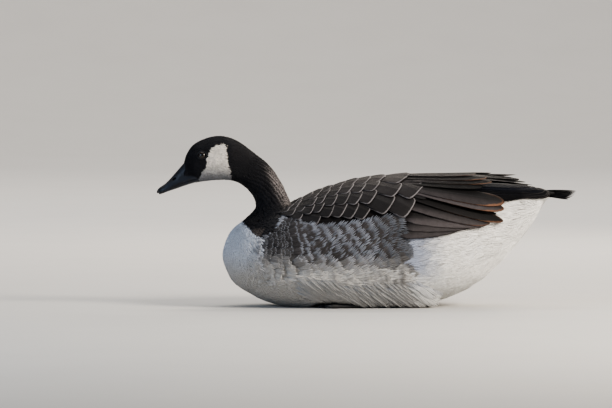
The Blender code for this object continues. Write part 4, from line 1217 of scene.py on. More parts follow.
# How far the rows wave, and how loosely the tips lie along x: less above the first height, and more by
# the share below the second.
FLANK_WAVE = 2.6
FLANK_LOOSE, FLANK_LOOSE_HEIGHTS = 3.2, (86.0, 66.0)
# How far below the flank's top the feathers rise over the ones beneath, and where they end: x at a
# height, and how far further back for each millimetre below it.
FLANK_LAP = (36.0, 3.0)
FLANK_BACK_X, FLANK_BACK_HEIGHT, FLANK_BACK_LEAN = 64.0, 80.0, 0.1
# Their colours are those of a place a little ahead of and below the tip, and not further back than x.
FLANK_SHIFT, FLANK_SHIFT_END = (3.0, 0.0, 5.0), 40.0


def flank_rows():
    """Tips of the flank feathers on the right side, row behind row: x, z, how high up, and size."""
    rows, start = [], FLANK_START
    while start < FLANK_END:
        size = float(smooth(start, *FLANK_GROWTH))
        slant = float(flank_slant(start))
        step = between(*FLANK_STEPS, size) / math.hypot(1.0, slant)
        top = line_at(FLANK_TOP, start)
        z = top + 1.0
        while z > FLANK_LOW:
            lap = float(smooth(z, top - FLANK_LAP[0], top - FLANK_LAP[1]))
            x = start + slant * (top - z)
            if x < FLANK_BACK_X + FLANK_BACK_LEAN * (FLANK_BACK_HEIGHT - z):
                rows.append((x, z, lap, size))
            z -= step
        start += between(*FLANK_ROW_STEPS, size) * math.hypot(1.0, slant)
    return rows


def flank_coat(material):
    """The large soft feathers of the flanks, with pale tips, which lap over the wing's lower edge."""
    coat = Coat()
    draw = np.random.default_rng(25)
    for _, sign in SIDES:
        tips, laps = [], []
        for x, z, lap, size in flank_rows():
            if inside(BLACK_NECK, np.array([x]), np.array([z]))[0] > -3.0:
                continue
            wave = FLANK_WAVE * float(wobble(np.array([x, 0.0, z]), 30.0, 33 + sign)) * (1.0 - 0.5 * size)
            loose = 1.0 + FLANK_LOOSE * float(smooth(z, *FLANK_LOOSE_HEIGHTS))
            tips.append(seat(x + wave + draw.normal(0.0, loose), z + draw.normal(0.0, 1.3), sign))
            laps.append((lap, size))
        tips, (laps, sizes) = np.array(tips), np.transpose(laps)
        count = len(tips)
        lengths = between(*FLANK_LENGTHS, sizes) * draw.uniform(0.92, 1.08, count)
        frames, flow = flow_at(tips, draw.normal(0.0, 0.09, count))
        roots = tips - surface_step(frames, flow) * lengths[:, None]
        seen = frames[:, :3] - FLANK_SHIFT
        seen[:, 0] = np.minimum(seen[:, 0], FLANK_SHIFT_END)
        tint, edge, width = markings(seen, tips)
        high = between(0.8, np.maximum(bed_at(tips), 0.0) + 4.2, laps * sizes) + draw.normal(0.0, 0.2, count)
        low = between(-2.8, -1.0, laps * sizes)
        tint = tint * draw.uniform(0.85, 1.2, (count, 1))
        edge = edge * draw.uniform(0.75, 1.2, (count, 1))
        edge = edge * between(1.0, 0.5, smooth(frames[:, 0], 0.0, 40.0))[:, None]
        half_widths = between(*FLANK_HALF_WIDTHS, sizes) * draw.uniform(0.92, 1.08, count)
        heights = np.stack([low, high], axis=-1)
        lay_loose(coat, roots, tips, half_widths, heights, (tint, edge, width), draw, fray=0.9)
    coat.make("flank_plumage", material, "pale_plumage")


# Rows of the lowest feathers: height of their roots and tips, how far out the tips hang past the foot.
CURTAIN_ROWS = ((26.0, 2.4, 0.0), (31.0, 6.0, 1.2), (36.0, 10.0, 2.4), (41.0, 14.5, 3.4), (46.0, 20.0, 4.2))
# Their roots along x, half width, strands, and how far they bulge out.
CURTAIN_START, CURTAIN_END, CURTAIN_STEP = -100.0, 68.0, 6.5
CURTAIN_HALF_WIDTH = 7.0
CURTAIN_STRANDS = 11
CURTAIN_BULGE = 3.0
# Where along x the feathers come away from the belly with their roots and close in again with their tips.
CURTAIN_ROOT_XS, CURTAIN_TIP_XS = (-76.0, -24.0), (112.0, 98.0)


def curtain_side(x):
    """How far out the belly's lowest feathers hang past the outer side of the tucked foot."""
    tuck = 5.0 * smooth(x, 72.0, 100.0)
    return 64.5 + 16.0 * web_share(x, HEEL[0] - TARSUS_LENGTH) - tuck


def curtain_coat(material):
    """The belly feathers that lie over the outer sides of the tucked feet."""
    coat = Coat()
    draw = np.random.default_rng(27)
    rows = np.arange(CURTAIN_START, CURTAIN_END, CURTAIN_STEP)
    count = len(rows)
    for _, sign in SIDES:
        for level, end, out in CURTAIN_ROWS:
            xs = rows + draw.uniform(-2.0, 2.0, count)
            spots = np.array([seat(x, level + draw.uniform(-2.0, 2.0), sign) for x in xs])
            frames = sample(FRAMES, spots)
            tint, edge, width = markings(frames[:, :3], spots)
            tips_x = xs + draw.uniform(32.0, 42.0, count)
            ends = end + draw.uniform(0.0, 3.0, count)
            tips = np.stack([tips_x, sign * (curtain_side(tips_x) + out), ends], axis=-1)
            low = sample(POINT, np.array([seat(x, max(z, 12.0), sign) for x, z in zip(tips_x, ends)]))
            free = smooth(xs, *CURTAIN_ROOT_XS) * smooth(tips_x, *CURTAIN_TIP_XS)
            roots = frames[:, :3] - frames[:, 3:6] * 1.6
            tips = between(low, tips, free[:, None])
            # Their tint is darkened as painted shade, against the light that their outward faces catch; they
            # have no fringe.
            lay_free(coat, roots, tips, sign, (tint * 0.85, edge, width * 0.0), spots, draw)
    coat.make("skirt_plumage", material, "pale_plumage")


def lay_free(coat, roots, tips, sign, colours, spots, draw):
    """Loose feathers in the air from roots to tips, bulging a little outwards."""
    share, wide = STRAND.shape[:, :1], STRAND.shape[:, 1:2]
    across, arch, _ = STRAND.section.T
    count = len(roots)
    out = np.array([0.0, sign, 0.0])
    side = unit(np.cross(tips - roots, out))
    tint, edge, width = colours
    for offset in np.linspace(-1.0, 1.0, CURTAIN_STRANDS):
        spread = (offset + draw.normal(0.0, 0.06, count))[:, None] * CURTAIN_HALF_WIDTH * side
        short = 4.0 * offset**2 + draw.uniform(0.0, 2.0, count)
        end = tips + spread - unit(tips - roots) * short[:, None] - out * (0.6 * offset**2)
        begin = roots + 0.5 * spread
        line = begin[:, None] + (end - begin)[:, None] * share
        line = line + out * (4.0 * CURTAIN_BULGE * share * (1.0 - share))
        reach = np.broadcast_to(wide * across, (count, len(share), len(across)))
        lift = STRAND.camber * arch * wide
        points = line[:, :, None] + side[:, None, None] * reach[..., None] * sign + out * lift[..., None]
        points[..., 2] = np.maximum(points[..., 2], 0.4)
        length = np.linalg.norm(end - begin, axis=1)
        shade = draw.uniform(0.92, 1.08, (count, 1))
        coat.add(points, reach, length, 9.0, STRAND, (tint * shade, edge, width), spots)


# Tiers of the back and the wing: x of the fringe line halfway up the side, its slant along x per
# millimetre of height, length and half width of the feathers, spacing round the body.
TIER_HEIGHT = 146.0
TIERS = (
    (-107.0, 0.28, 26.0, 9.5, 14.0),
    (-97.0, 0.32, 26.0, 10.0, 15.0),
    (-85.0, 0.36, 28.0, 11.0, 16.0),
    (-73.0, 0.37, 30.0, 12.0, 17.5),
    (-60.0, 0.38, 33.0, 13.0, 19.0),
    (-45.0, 0.40, 37.0, 14.0, 20.5),
    (-29.0, 0.42, 42.0, 15.0, 22.0),
    (-13.0, 0.43, 42.0, 15.0, 22.0),
    (5.0, 0.46, 46.0, 16.0, 23.5),
    (34.0, 0.56, 56.0, 18.0, 26.0),
    (63.0, 0.58, 62.0, 20.0, 28.0),
)
# Where a tier ends in degrees from the back, and how far its feathers' tips rise for their length.
TIER_END = 76.0
TIER_SLOPE = 0.085
# Within this depth of the back's ridge the fringe lines run back by up to this much more.
RIDGE_RUN = 7.0
RIDGE_DEPTH = 15.0
# Above the last tier: x of the tips, their degrees from the back, length and half width.
TOP_TIER = (84.0, (26.0, 40.0), 62.0, 18.0)
# Degrees from the back's middle: up to the first a feather lies level, up to the second it belongs to the
# back and not to a wing, and up to the third the last tier would lie under the wings' innermost feathers
# and is left out. Elsewhere a covert's outer rim lies higher than its shaft by its tilt.
MIDDLE_TURN = 4.0
BACK_TURN = 9.0
COVERED_TURN = 22.0
COVERT_TILT = 0.5
# Painted light on the coverts: how much lighter and warmer the brown is painted towards the back, in red,
# green and blue, and between which heights.
PAINTED_TOP_LIGHT = np.array([0.9, 0.738, 0.684])
PAINTED_TOP_LIGHT_HEIGHTS = (146.0, 182.0)


def tier_tips(line_x, slant, spacing, odd):
    """Tips of a tier's feathers on one side, from the back's middle down to the flank: x and degrees."""
    turn = 0.0 if odd else 0.5 * math.degrees(spacing / 90.0)
    tips = []
    while turn < TIER_END:
        x = line_x
        for _ in range(3):
            spot = place(x, turn)
            height = sample(POINT, spot)[2]
            near = max(1.0 - (sample(POINT, place(x, 0.0))[2] - height) / RIDGE_DEPTH, 0.0)
            x = line_x + slant * (height - TIER_HEIGHT) + RIDGE_RUN * near**2
        if height < line_at(FLANK_TOP, x) + 0.2 * spacing:
            break
        tips.append((x, turn))
        turn += math.degrees(spacing / max(np.linalg.norm(sample(AROUND, spot)), 20.0))
    return tips


def covert_coats(material):
    """The mantle, scapulars and coverts, tier behind tier, as one piece for the back and one a wing."""
    coats = {name: Coat() for name in ("back_plumage", "wing_coverts_left", "wing_coverts_right")}
    draw = np.random.default_rng(31)
    for number, (line_x, slant, length, half_width, spacing) in enumerate(TIERS):
        for name, sign in SIDES:
            for x, turn in tier_tips(line_x, slant, spacing, number % 2):
                if (turn == 0.0 and sign < 0) or (number == len(TIERS) - 1 and turn < COVERED_TURN):
                    continue
                x = x + draw.uniform(-1.0, 1.0)
                coat = coats["back_plumage" if turn < BACK_TURN else "wing_coverts_" + name]
                lay_covert(coat, sign, x, turn, slant * smooth(turn, 0.0, 30.0), length, half_width, draw)
    line_x, turns, length, half_width = TOP_TIER
    for name, sign in SIDES:
        for turn in turns:
            x = line_x - 0.1 * (turn - turns[0])
            lay_covert(coats["wing_coverts_" + name], sign, x, turn, 0.25, length, half_width, draw, 0.0)
    for name, coat in coats.items():
        coat.make(name, material, "brown_plumage")


def lay_covert(coat, sign, x, turn, lean, length, half_width, draw, fringe=1.0):
    """One covert whose tip lies at x and that many degrees from the back, its axis leaning downwards."""
    tip = place(x, sign * turn)
    frames = sample(FRAMES, tip)
    normal = frames[3:6]
    back = unit(np.array([1.0, 0.0, 0.0]) - normal * normal[0])
    down = np.cross(normal, back) * sign
    angle = math.atan(lean) + draw.normal(0.0, 0.05)
    length = length * draw.uniform(0.95, 1.05)
    root = tip - surface_step(frames, back * math.cos(angle) + down * math.sin(angle)) * length
    low, high = bed_at(np.stack([root, tip]))
    free = 1.0 - 0.5 * float(smooth(turn, 50.0, 66.0))
    heights = np.array([[max(low, -1.0) + 0.1, max(high, -0.5) + 0.4 + TIER_SLOPE * length * free]])
    # Painted light: the brown is lighter and warmer higher up the back.
    warm = PAINTED_TOP_LIGHT * smooth(sample(POINT, tip)[2], *PAINTED_TOP_LIGHT_HEIGHTS)
    tint = np.array([BROWN]) * draw.uniform(0.82, 1.2) * (1.0 + warm)
    edge = between(tint, np.array([BROWN_FRINGE]) * draw.uniform(0.8, 1.15), fringe)
    colours = tint, edge, np.array([1.1 + 0.4 * smooth(x, -60.0, 30.0)])
    half_width = half_width * draw.uniform(0.94, 1.06)
    tilt = COVERT_TILT if turn > MIDDLE_TURN else 0.0
    coat.lay(root[None], tip[None], half_width, heights, COVERT, colours, tilt=tilt)


# Flight feathers of the folded left wing as seen from the side: x and z of the root, x and z of the
# tip, height of root and tip over the body, half width, tone from brown to grey, rim from 0 to 1.
# Tones below 0 make a feather darker than the brown, as painted shade under the feathers above it.
SECONDARIES = (
    (36.0, 106.0, 134.0, 120.0, 2.2, 2.8, 13.0, 1.0, 0.0),
    (42.0, 117.0, 152.0, 122.5, 2.6, 3.5, 13.0, 0.95, 0.0),
    (45.0, 128.0, 167.0, 122.5, 2.9, 4.4, 13.0, 0.85, 0.1),
    (44.0, 147.0, 166.0, 119.5, 4.0, 6.0, 10.5, 0.9, 0.5),
    (44.0, 160.0, 184.0, 121.5, 5.0, 7.2, 8.5, -0.1, 0.9),
    (42.0, 168.5, 183.0, 138.5, 4.8, 13.2, 9.5, 0.9, 0.9),
    (42.0, 171.5, 184.0, 148.5, 5.0, 14.2, 12.0, 0.45, 0.9),
    (44.0, 174.5, 156.0, 168.5, 3.8, 14.6, 7.5, -0.25, 0.0),
    (42.0, 177.5, 170.0, 175.5, 3.6, 15.6, 8.5, -0.24, 0.6),
    (40.0, 180.5, 164.0, 181.0, 3.5, 15.8, 9.5, -0.15, 0.6),
    (38.0, 183.5, 150.0, 186.0, 3.4, 16.0, 9.5, 0.3, 0.4),
)
# How much higher than its shaft a feather's outer rim lies, in millimetres.
NEAR_TILT = 1.3
# The right wing's upper feathers have their tips further back, from the lowest to the highest by so much
# along x and up. They stand higher over the body, are wider, and their faces turn more to the left.
FAR_TERTIALS = 4
FAR_MOVES = ((44.0, 0.0), (44.0, 0.5), (44.0, 2.2), (24.0, -1.0))
FAR_RISE = 1.6
FAR_WIDER = 3.0
FAR_TILT = 2.6

# Innermost feathers of the wings, which cover the back's middle: x and degrees of the root and the
# tip, heights, half width. The first three belong to the left wing and the others to the right one.
COVERS = {
    -1: ((40.0, -12.0, 158.0, -11.0, 1.6, 10.5, 11.0), (36.0, -17.0, 166.0, -18.0, 1.8, 12.0, 11.0),
         (32.0, -22.0, 160.0, -24.0, 2.0, 13.4, 11.0)),
    1: ((44.0, -7.0, 205.0, -7.0, 1.4, 5.5, 10.0), (44.0, -3.0, 232.0, -3.0, 1.5, 5.5, 10.0),
        (42.0, 1.0, 222.0, 0.0, 1.6, 8.5, 10.5), (38.0, 5.0, 210.0, 4.0, 1.7, 11.0, 11.0),
        (36.0, 11.0, 204.0, 9.0, 1.8, 12.4, 11.0), (32.0, 17.0, 202.0, 15.0, 2.0, 13.2, 11.0)),
}
COVER_TILT = 2.0

# The black primaries: share from the lowest to the highest, then root, tip, heights and half width.
PRIMARIES = (
    (0.0, 112.0, 146.0, 236.0, 158.0, 1.6, 2.0, 7.0),
    (0.4, 112.0, 158.0, 255.0, 158.5, 2.2, 3.0, 8.0),
    (0.75, 110.0, 168.0, 250.0, 162.0, 3.0, 4.2, 8.0),
    (1.0, 106.0, 174.0, 228.0, 168.0, 4.0, 5.6, 9.0),
)
PRIMARY_COUNT = 10
PRIMARY_TILT = 0.8


def straight_lines(rows, sign):
    """The places of flight feathers' shafts that look straight from the side, from rows as above."""
    lines = []
    for x0, z0, x1, z1, low, high in rows[:, :6]:
        lines.append([seat(between(x0, x1, share), between(z0, z1, share), sign, between(low, high, rise))
                      for share, _, rise in FLIGHT_SHAPE])
    lines = np.array(lines)
    lines[..., 1] = np.unwrap(lines[..., 1], axis=1)
    return lines


def lay_straight(coat, rows, sign, colours, tilts):
    """Flight feathers from rows of root, tip, heights and half width, all given as seen from the side."""
    lines = straight_lines(rows, sign)
    coat.lay(lines[:, 0], lines[:, -1], rows[:, 6], rows[:, 4:6], VANE, colours, tilt=tilts, lines=lines)


def lay_secondaries(coat, sign, draw):
    """The secondaries and tertials of one wing."""
    table = np.array(SECONDARIES)
    tilts = np.full(len(table), NEAR_TILT)
    if sign > 0:
        table[-FAR_TERTIALS:, 2:4] += FAR_MOVES
        table[-FAR_TERTIALS:, 5] += FAR_RISE
        table[-FAR_TERTIALS:, 6] += FAR_WIDER
        tilts[-FAR_TERTIALS:] = FAR_TILT
    tones_and_painted_shade, rims = table[:, 7], table[:, 8]
    # Tones below 0 give painted shade.
    tint = mix(FLIGHT, FLIGHT_GREY, tones_and_painted_shade) * draw.uniform(0.85, 1.15, (len(table), 1))
    edge = mix(tint, FLIGHT_RIM, rims) * draw.uniform(0.8, 1.2, (len(table), 1))
    lay_straight(coat, table, sign, (tint, edge, 0.4 + 2.2 * rims), tilts)


def lay_covers(coat, sign, draw):
    """A wing's innermost feathers, over the middle of the back."""
    table = np.array(COVERS[sign])
    roots, tips = (np.array([place(*row[first:first + 2]) for row in table]) for first in (0, 2))
    count = len(table)
    tint = np.array([FLIGHT_GREY]) * draw.uniform(0.45, 0.7, (count, 1))
    edge = np.array([BROWN_FRINGE]) * draw.uniform(0.6, 1.0, (count, 1))
    colours = tint, edge, np.full(count, 1.0)
    coat.lay(roots, tips, table[:, 6], table[:, 4:6], VANE, colours, tilt=COVER_TILT)


def lay_primaries(coat, sign, draw):
    """The black primaries of one wing, which cross over the tail's base."""
    table = np.array(PRIMARIES)
    shares = np.linspace(0.0, 1.0, PRIMARY_COUNT)
    rows = np.stack([np.interp(shares, table[:, 0], column) for column in table[:, 1:].T], axis=1)
    # The highest primaries are tinted blue as a painted sky reflection.
    tint = mix(PRIMARY, PRIMARY_PAINTED_SKY_SHEEN, smooth(shares, 0.5, 1.0)) * draw.uniform(0.8, 1.3, (PRIMARY_COUNT, 1))
    edge = np.repeat([SPECKLE], PRIMARY_COUNT, axis=0) * 0.2
    lay_straight(coat, rows, sign, (tint, edge, np.full(PRIMARY_COUNT, 0.4)), PRIMARY_TILT)


def flight_coats(brown, black):
    """The folded flight feathers of each wing: secondaries and tertials, and the black primaries."""
    for name, sign in SIDES:
        draw = np.random.default_rng(40 + sign)
        upper, lower = Coat(), Coat()
        lay_covers(upper, sign, draw)
        lay_secondaries(upper, sign, draw)
        lay_primaries(lower, sign, draw)
        upper.make("wing_secondaries_" + name, brown, "brown_plumage", "wing_" + name)
        lower.make("wing_primaries_" + name, black, "black_plumage")


# The tail: x and y of the outer feathers' roots and tips, how far the outer ones fall short, the sheet on
# which they lie, the step from pair to pair, how far the middle tips rise, and each feather's own form.
TAIL_PAIRS = 8
TAIL_ROOT = (246.0, 17.0)
TAIL_TIP = (294.4, 30.0)
TAIL_ROUNDING = 15.0
TAIL_TOP = 156.0
TAIL_ARCH = 5.0
TAIL_DROOP = 3.0
TAIL_STEP = 0.75
TAIL_LIFT = 2.5
TAIL_LENGTH = 45.0
TAIL_HALF_WIDTH = 6.4
TAIL_CAMBER = 0.5
TAIL_TILT = 0.5
TAIL_BLADE = 0.5
VANE_TURNED = feather(FLIGHT_SHAPE, VANE_SECTION[::-1], 0.8, 0.6, 0.8, 7.0)


def tail_sheet(x, y):
    """The sheet on which the tail feathers lie: arched across and drooping a little behind."""
    behind = np.maximum(x - TAIL_ROOT[0], 0.0) / (TAIL_TIP[0] - TAIL_ROOT[0])
    return TAIL_TOP - TAIL_ARCH * (y / TAIL_TIP[1]) ** 2 - TAIL_DROOP * behind**2


def tail_coat(material):
    """Eight pairs of black tail feathers, the middle pair on top and the longest."""
    coat = Coat()
    colours = np.array([PRIMARY]), np.array([RUMP]), np.array([0.8])
    for number in range(2 * TAIL_PAIRS):
        pair, side = divmod(number, 2)
        style, sign = ((VANE_TURNED, -1), (VANE, 1))[side]
        along, wide, rise = style.shape.T[..., None]
        across, arch, under = style.section.T
        share = (pair + 0.5) / TAIL_PAIRS
        root = np.array([TAIL_ROOT[0], TAIL_ROOT[1] * share])
        tip = np.array([TAIL_TIP[0] - TAIL_ROUNDING * share**2, TAIL_TIP[1] * share])
        run = unit(tip - root)
        line = root + (tip - root) * along
        reach = TAIL_HALF_WIDTH * wide * across
        x, y = line[:, :1] - run[1] * reach, line[:, 1:] + run[0] * reach
        lift = TAIL_STEP * (TAIL_PAIRS - 1 - pair) + TAIL_LIFT * (1 - share) * rise
        lift = lift + (TAIL_CAMBER * arch - TAIL_BLADE * under + TAIL_TILT * across) * wide
        points = np.stack([x, y * sign, tail_sheet(x, y) + lift], axis=-1)
        rim = rim_distances(style, TAIL_LENGTH, TAIL_HALF_WIDTH)
        patch = np.array([[WAYS[-1] - 4.0, 0.1 * number]])
        coat.add(points[None], reach[None], np.array([TAIL_LENGTH]), rim, style, colours, patch)
    coat.make("tail_feathers", material, "black_plumage", "tail")


# Bill, eyes and feet.


def spline(table, shares):
    """Values of a table of rows at shares from 0 to 1 along it, by Catmull-Rom curves."""
    table = np.asarray(table, float)
    spot = np.asarray(shares) * (len(table) - 1)
    index = np.minimum(spot.astype(int), len(table) - 2)
    t = (spot - index)[:, None]
    padded = np.concatenate([2 * table[:1] - table[1:2], table, 2 * table[-1:] - table[-2:-1]])
    a, b, c, d = (padded[index + k] for k in range(4))
    return 0.5 * (2 * b + (c - a) * t + (2 * a - 5 * b + 4 * c - d) * t**2 + (3 * b - a - 3 * c + d) * t**3)


# The nostril: its place, half sizes, slope, depth, and the heights of its rim and of the dish round it.
NOSTRIL_PLACE = (-269.6, 178.2)
NOSTRIL_SIZE = (3.4, 1.3)
NOSTRIL_SLOPE = math.radians(42.0)
NOSTRIL_DEPTH, NOSTRIL_RIM, NOSTRIL_DISH = 3.4, 0.28, 0.5
# The bill: how far its tip runs on and down, its rings and the points of each, the roundness of its back,
# the gap between its halves, and how much narrower on each side the lower one is.
NAIL_HOOK = (1.1, 0.0, 1.9)
BILL_RINGS, BILL_SIDES = 96, 57
BILL_ARCH = 0.8
BILL_GAP = 0.3
BILL_OVERHANG = 1.2
# The upper bill's swollen edge and the hollow above it: by how much, at which share up, over what reach.
BILL_SWELLS = ((0.035, 0.12, 0.08), (-0.03, 0.4, 0.2))


def bill_rings(upper):
    """Rings of one half of the bill, flat along the mouth line and arched away from it."""
    table = [(*culmen, *mouth, *chin, half) for culmen, mouth, chin, half in BILL]
    turns = np.linspace(0.0, math.pi, BILL_SIDES)
    high = np.sin(turns) ** BILL_ARCH
    swell = np.ones(len(turns))
    for size, middle, reach in BILL_SWELLS if upper else ():
        swell += size * np.exp(-(((high - middle) / reach) ** 2))
    rings = []
    for row in spline(table, np.linspace(0.0, 1.0, BILL_RINGS)):
        culmen, mouth, chin = (np.array([row[k], 0.0, row[k + 1]]) for k in (0, 2, 4))
        foot = mouth + unit(culmen - chin) * (BILL_GAP / 2 if upper else -BILL_GAP / 2)
        half_width = row[6] - (0.0 if upper else BILL_OVERHANG)
        ring = foot + ((culmen if upper else chin) - foot) * high[:, None]
        ring[:, 1] = half_width * np.cos(turns) * swell
        under = foot + np.outer(np.linspace(-0.8, 0.8, 9) * half_width, [0.0, 1.0, 0.0])
        rings.append(np.concatenate([ring, under]))
    rings = np.array(rings)
    if upper:
        rings = np.concatenate([rings, nail_rings(rings[-1])])
        carve_nostrils(rings)
    return rings


def nail_rings(last):
    """Rings that round the bill's tip down into its nail."""
    centre = last.mean(0)
    rings = []
    for share in (0.45, 0.8, 1.0):
        size = math.cos(share * math.pi / 2) * 0.96 + 0.04
        rings.append(centre + (last - centre) * size - np.array(NAIL_HOOK) * share)
    return np.array(rings)


def carve_nostrils(rings):
    """Sinks an oval nostril with a soft rim into each side of the upper bill."""
    away = rings[..., [0, 2]] - NOSTRIL_PLACE
    c, s = math.cos(NOSTRIL_SLOPE), math.sin(NOSTRIL_SLOPE)
    p = (away[..., 0] * c + away[..., 1] * s) / NOSTRIL_SIZE[0]
    q = (-away[..., 0] * s + away[..., 1] * c) / NOSTRIL_SIZE[1]
    off = np.hypot(p, q)
    outer = np.abs(rings[..., 1]) > 2.0
    hole = NOSTRIL_DEPTH * (1.0 - smooth(off, 0.55, 1.15))
    rim = NOSTRIL_RIM * np.exp(-(((off - 1.45) / 0.35) ** 2))
    dish = NOSTRIL_DISH * (1.0 - smooth(off, 1.0, 3.2))
    rings[..., 1] -= np.sign(rings[..., 1]) * (hole - rim + dish) * outer


def bill_objects(material):
    """The two halves of the bill."""
    for half in ("upper", "lower"):
        rings = bill_rings(half == "upper")
        lofts_object("bill_horn_" + half, [rings], material, "bill_horn", "bill_" + half)


EYE_SIDES, EYE_RINGS = 64, 40
# Section of the lids: share from the opening to the outer rim, height over the eyeball or, outside it,
# over a level in the plumage.
LID_PROFILE = ((0.0, 0.1), (0.08, 0.55), (0.3, 0.85), (0.6, 0.45), (1.0, -0.7), (0.6, -1.6), (0.2, -1.2))
LID_OUTSIDE = 3.3


def eye_axis(sign):
    """The way out of the head at an eye, and the directions back and up across it."""
    rows = GRID_WAYS < 90.0
    half = ANGLE_GRID[rows] < math.pi if sign > 0 else ANGLE_GRID[rows] > math.pi
    off = np.linalg.norm(POINT[rows] - EYES[sign], axis=-1) + 1e3 * ~half
    out = NORMAL[rows].reshape(-1, 3)[off.argmin()]
    back = unit(np.array([1.0, 0.0, 0.0]) - out * out[0])
    return out, back, unit(np.cross(back, out)) * (1.0 if np.cross(back, out)[2] > 0 else -1.0)


def eye_objects(material):
    """The eyeballs, with the distance and turn round their axis stored for the iris."""
    turns = np.linspace(0.0, TURN, EYE_SIDES, endpoint=False)
    for name, sign in SIDES:
        out, back, up = eye_axis(sign)
        around = np.outer(np.cos(turns), back) + np.outer(np.sin(turns), up)
        rings, rests = [], []
        for tilt in np.linspace(0.02, math.pi - 0.02, EYE_RINGS):
            rings.append(EYES[sign] + EYE_RADIUS * (math.sin(tilt) * around + math.cos(tilt) * out))
            reach = EYE_RADIUS * (math.sin(tilt) if tilt < math.pi / 2 else 1.0)
            rests.append(np.column_stack([reach + 0.0 * turns, np.abs(turns - math.pi), 0.0 * turns]))
        obj = lofts_object("eyeball_" + name, [rings], material, "eye", "eye_" + name)
        put(obj.data, "ball", np.concatenate(rests))


def lid_objects(material):
    """The bare rims of the lids, which ride on the eyeball and sink into the plumage outside."""
    for name, sign in SIDES:
        out, back, up = eye_axis(sign)
        rings = []
        for turn in np.linspace(0.0, TURN, 73):
            c, s = math.cos(turn), math.sin(turn)
            loop = []
            for share, height in LID_PROFILE:
                along, across = between(np.array(LID_OPENING), np.array(LID_OUTER), share)
                flat = (along * c * back + across * s * up) * (1.0 + 0.06 * abs(c) ** 6)
                ball = math.sqrt(EYE_RADIUS**2 - min(np.linalg.norm(flat), EYE_RADIUS - 0.3) ** 2)
                loop.append(EYES[sign] + flat + out * ((ball if share < 0.35 else LID_OUTSIDE) + height))
            rings.append(loop)
        lofts_object("lids_" + name, [rings], material, "black_plumage", closed_ends=False)


# The right foot: the shank and the tarsus from the heel, the toes as degrees outwards and length, one toe
# as shares of its length and radii, its claw as reach, drop and radius, and the hind toe from the toes.
SHANK = np.array(((-14.0, -9.0, 34.0), (-4.4, -3.6, 15.4), (2.0, 0.0, 3.0), (-8.0, 0.0, 0.0)))
SHANK_RADII = (8.0, 6.6, 6.4, 5.2, 4.6, 4.6)
TOE = ((-0.05, 3.4), (0.2, 3.9), (0.36, 3.2), (0.52, 3.6), (0.68, 2.9), (0.82, 3.1), (0.9, 2.0))
TOES = ((-15.0, 56.0), (0.0, 74.0), (15.0, 68.0))
TOE_HEIGHT = 3.5
CLAW = ((-2.0, 0.0, 1.5), (2.5, 0.0, 1.9), (5.6, 0.6, 1.2), (8.0, 2.6, 0.3))
HIND_TOE = np.array(((14.0, -1.5, 1.0), (17.0, -7.0, 0.4), (20.0, -12.0, -0.6)))
HIND_RADII = (2.6, 2.4, 1.0)
# The web: where along the toes it ends, how far its edge is drawn in, its top and its thickness.
WEB_SHARE, WEB_HOLLOW = 0.78, 9.0
WEB_TOP, WEB_THICKNESS = 3.0, 1.1


def tube(path, radii, sides=20, flatness=1.0, rings=40):
    """Rings of a smooth tube along a path, with a radius at each of its points."""
    line = spline(np.column_stack([path, radii]), np.linspace(0.0, 1.0, rings))
    turns = np.linspace(0.0, TURN, sides, endpoint=False)
    made = []
    for i, row in enumerate(line):
        run = unit(line[min(i + 1, rings - 1), :3] - line[max(i - 1, 0), :3])
        side = np.cross([0.0, 0.0, 1.0], run)
        side = unit(side) if np.linalg.norm(side) > 0.15 else np.array([0.0, 1.0, 0.0])
        up = flatness * np.cross(run, side)
        ring = np.outer(np.cos(turns), side) + np.outer(np.sin(turns), up)
        made.append(row[:3] + row[3] * ring)
    return np.array(made)


def foot_rings():
    """Rings of the right leg's tarsus and toes, its web, and its claws."""
    heel = np.array(HEEL)
    toes = heel + [-TARSUS_LENGTH, 0.0, -1.0]
    ground = toes * [1, 1, 0]
    shank = [*(heel + SHANK), (heel + toes) / 2, toes]
    flesh = [tube(shank, SHANK_RADII)]
    claws, ends = [], []
    for turn, length in TOES:
        turn = math.radians(turn)
        away = np.array([-math.cos(turn), math.sin(turn), 0.0])
        line = [ground + away * length * share + [0.0, 0.0, TOE_HEIGHT] for share, _ in TOE]
        flesh.append(tube(line, [radius for _, radius in TOE], flatness=0.9))
        claw = [line[-1] + away * reach - [0, 0, drop] for reach, drop, _ in CLAW]
        claws.append(tube(claw, [radius for _, _, radius in CLAW], sides=12, rings=14))
        ends.append(ground + away * length * WEB_SHARE)
    flesh.append(tube(toes + HIND_TOE, HIND_RADII, sides=12, rings=12))
    return flesh + [web_rings(ground, ends)], claws


def web_rings(root, ends):
    """The web between the toes, drawn in between their ends, as rings from the root outwards."""
    edge = []
    for a, b in zip(ends, ends[1:]):
        for share in np.linspace(0.0, 1.0, 13):
            point = a + (b - a) * share
            edge.append(point + unit(root - point) * WEB_HOLLOW * math.sin(math.pi * share))
    edge = np.array(edge)
    rings = []
    for share in np.linspace(0.05, 1.0, 14):
        line = root + (edge - root) * share
        fold = 0.35 * np.sin(np.linspace(0, 14 * math.pi, len(line))) * share
        top, low = line.copy(), line[::-1].copy()
        top[:, 2], low[:, 2] = WEB_TOP + fold, WEB_TOP - WEB_THICKNESS + fold[::-1]
        rings.append(np.concatenate([top, low]))
    return np.array(rings)


def foot_objects(skin, horn):
    """Both tucked legs with webbed feet, and their claws."""
    flesh, claws = foot_rings()
    for name, sign in SIDES:
        leg = [grounded(rings, sign) for rings in flesh]
        lofts_object("foot_" + name, leg, skin, "foot_skin", "leg_" + name)
        lofts_object("claws_" + name, [grounded(rings, sign) for rings in claws], horn, "bill_horn")


def grounded(rings, sign):
    """Rings of the right side brought to a side, and kept above the floor."""
    rings = rings * [1.0, sign, 1.0]
    rings[..., 2] = np.maximum(rings[..., 2], FLOOR_GAP)
    return rings


# Floor, light and camera.

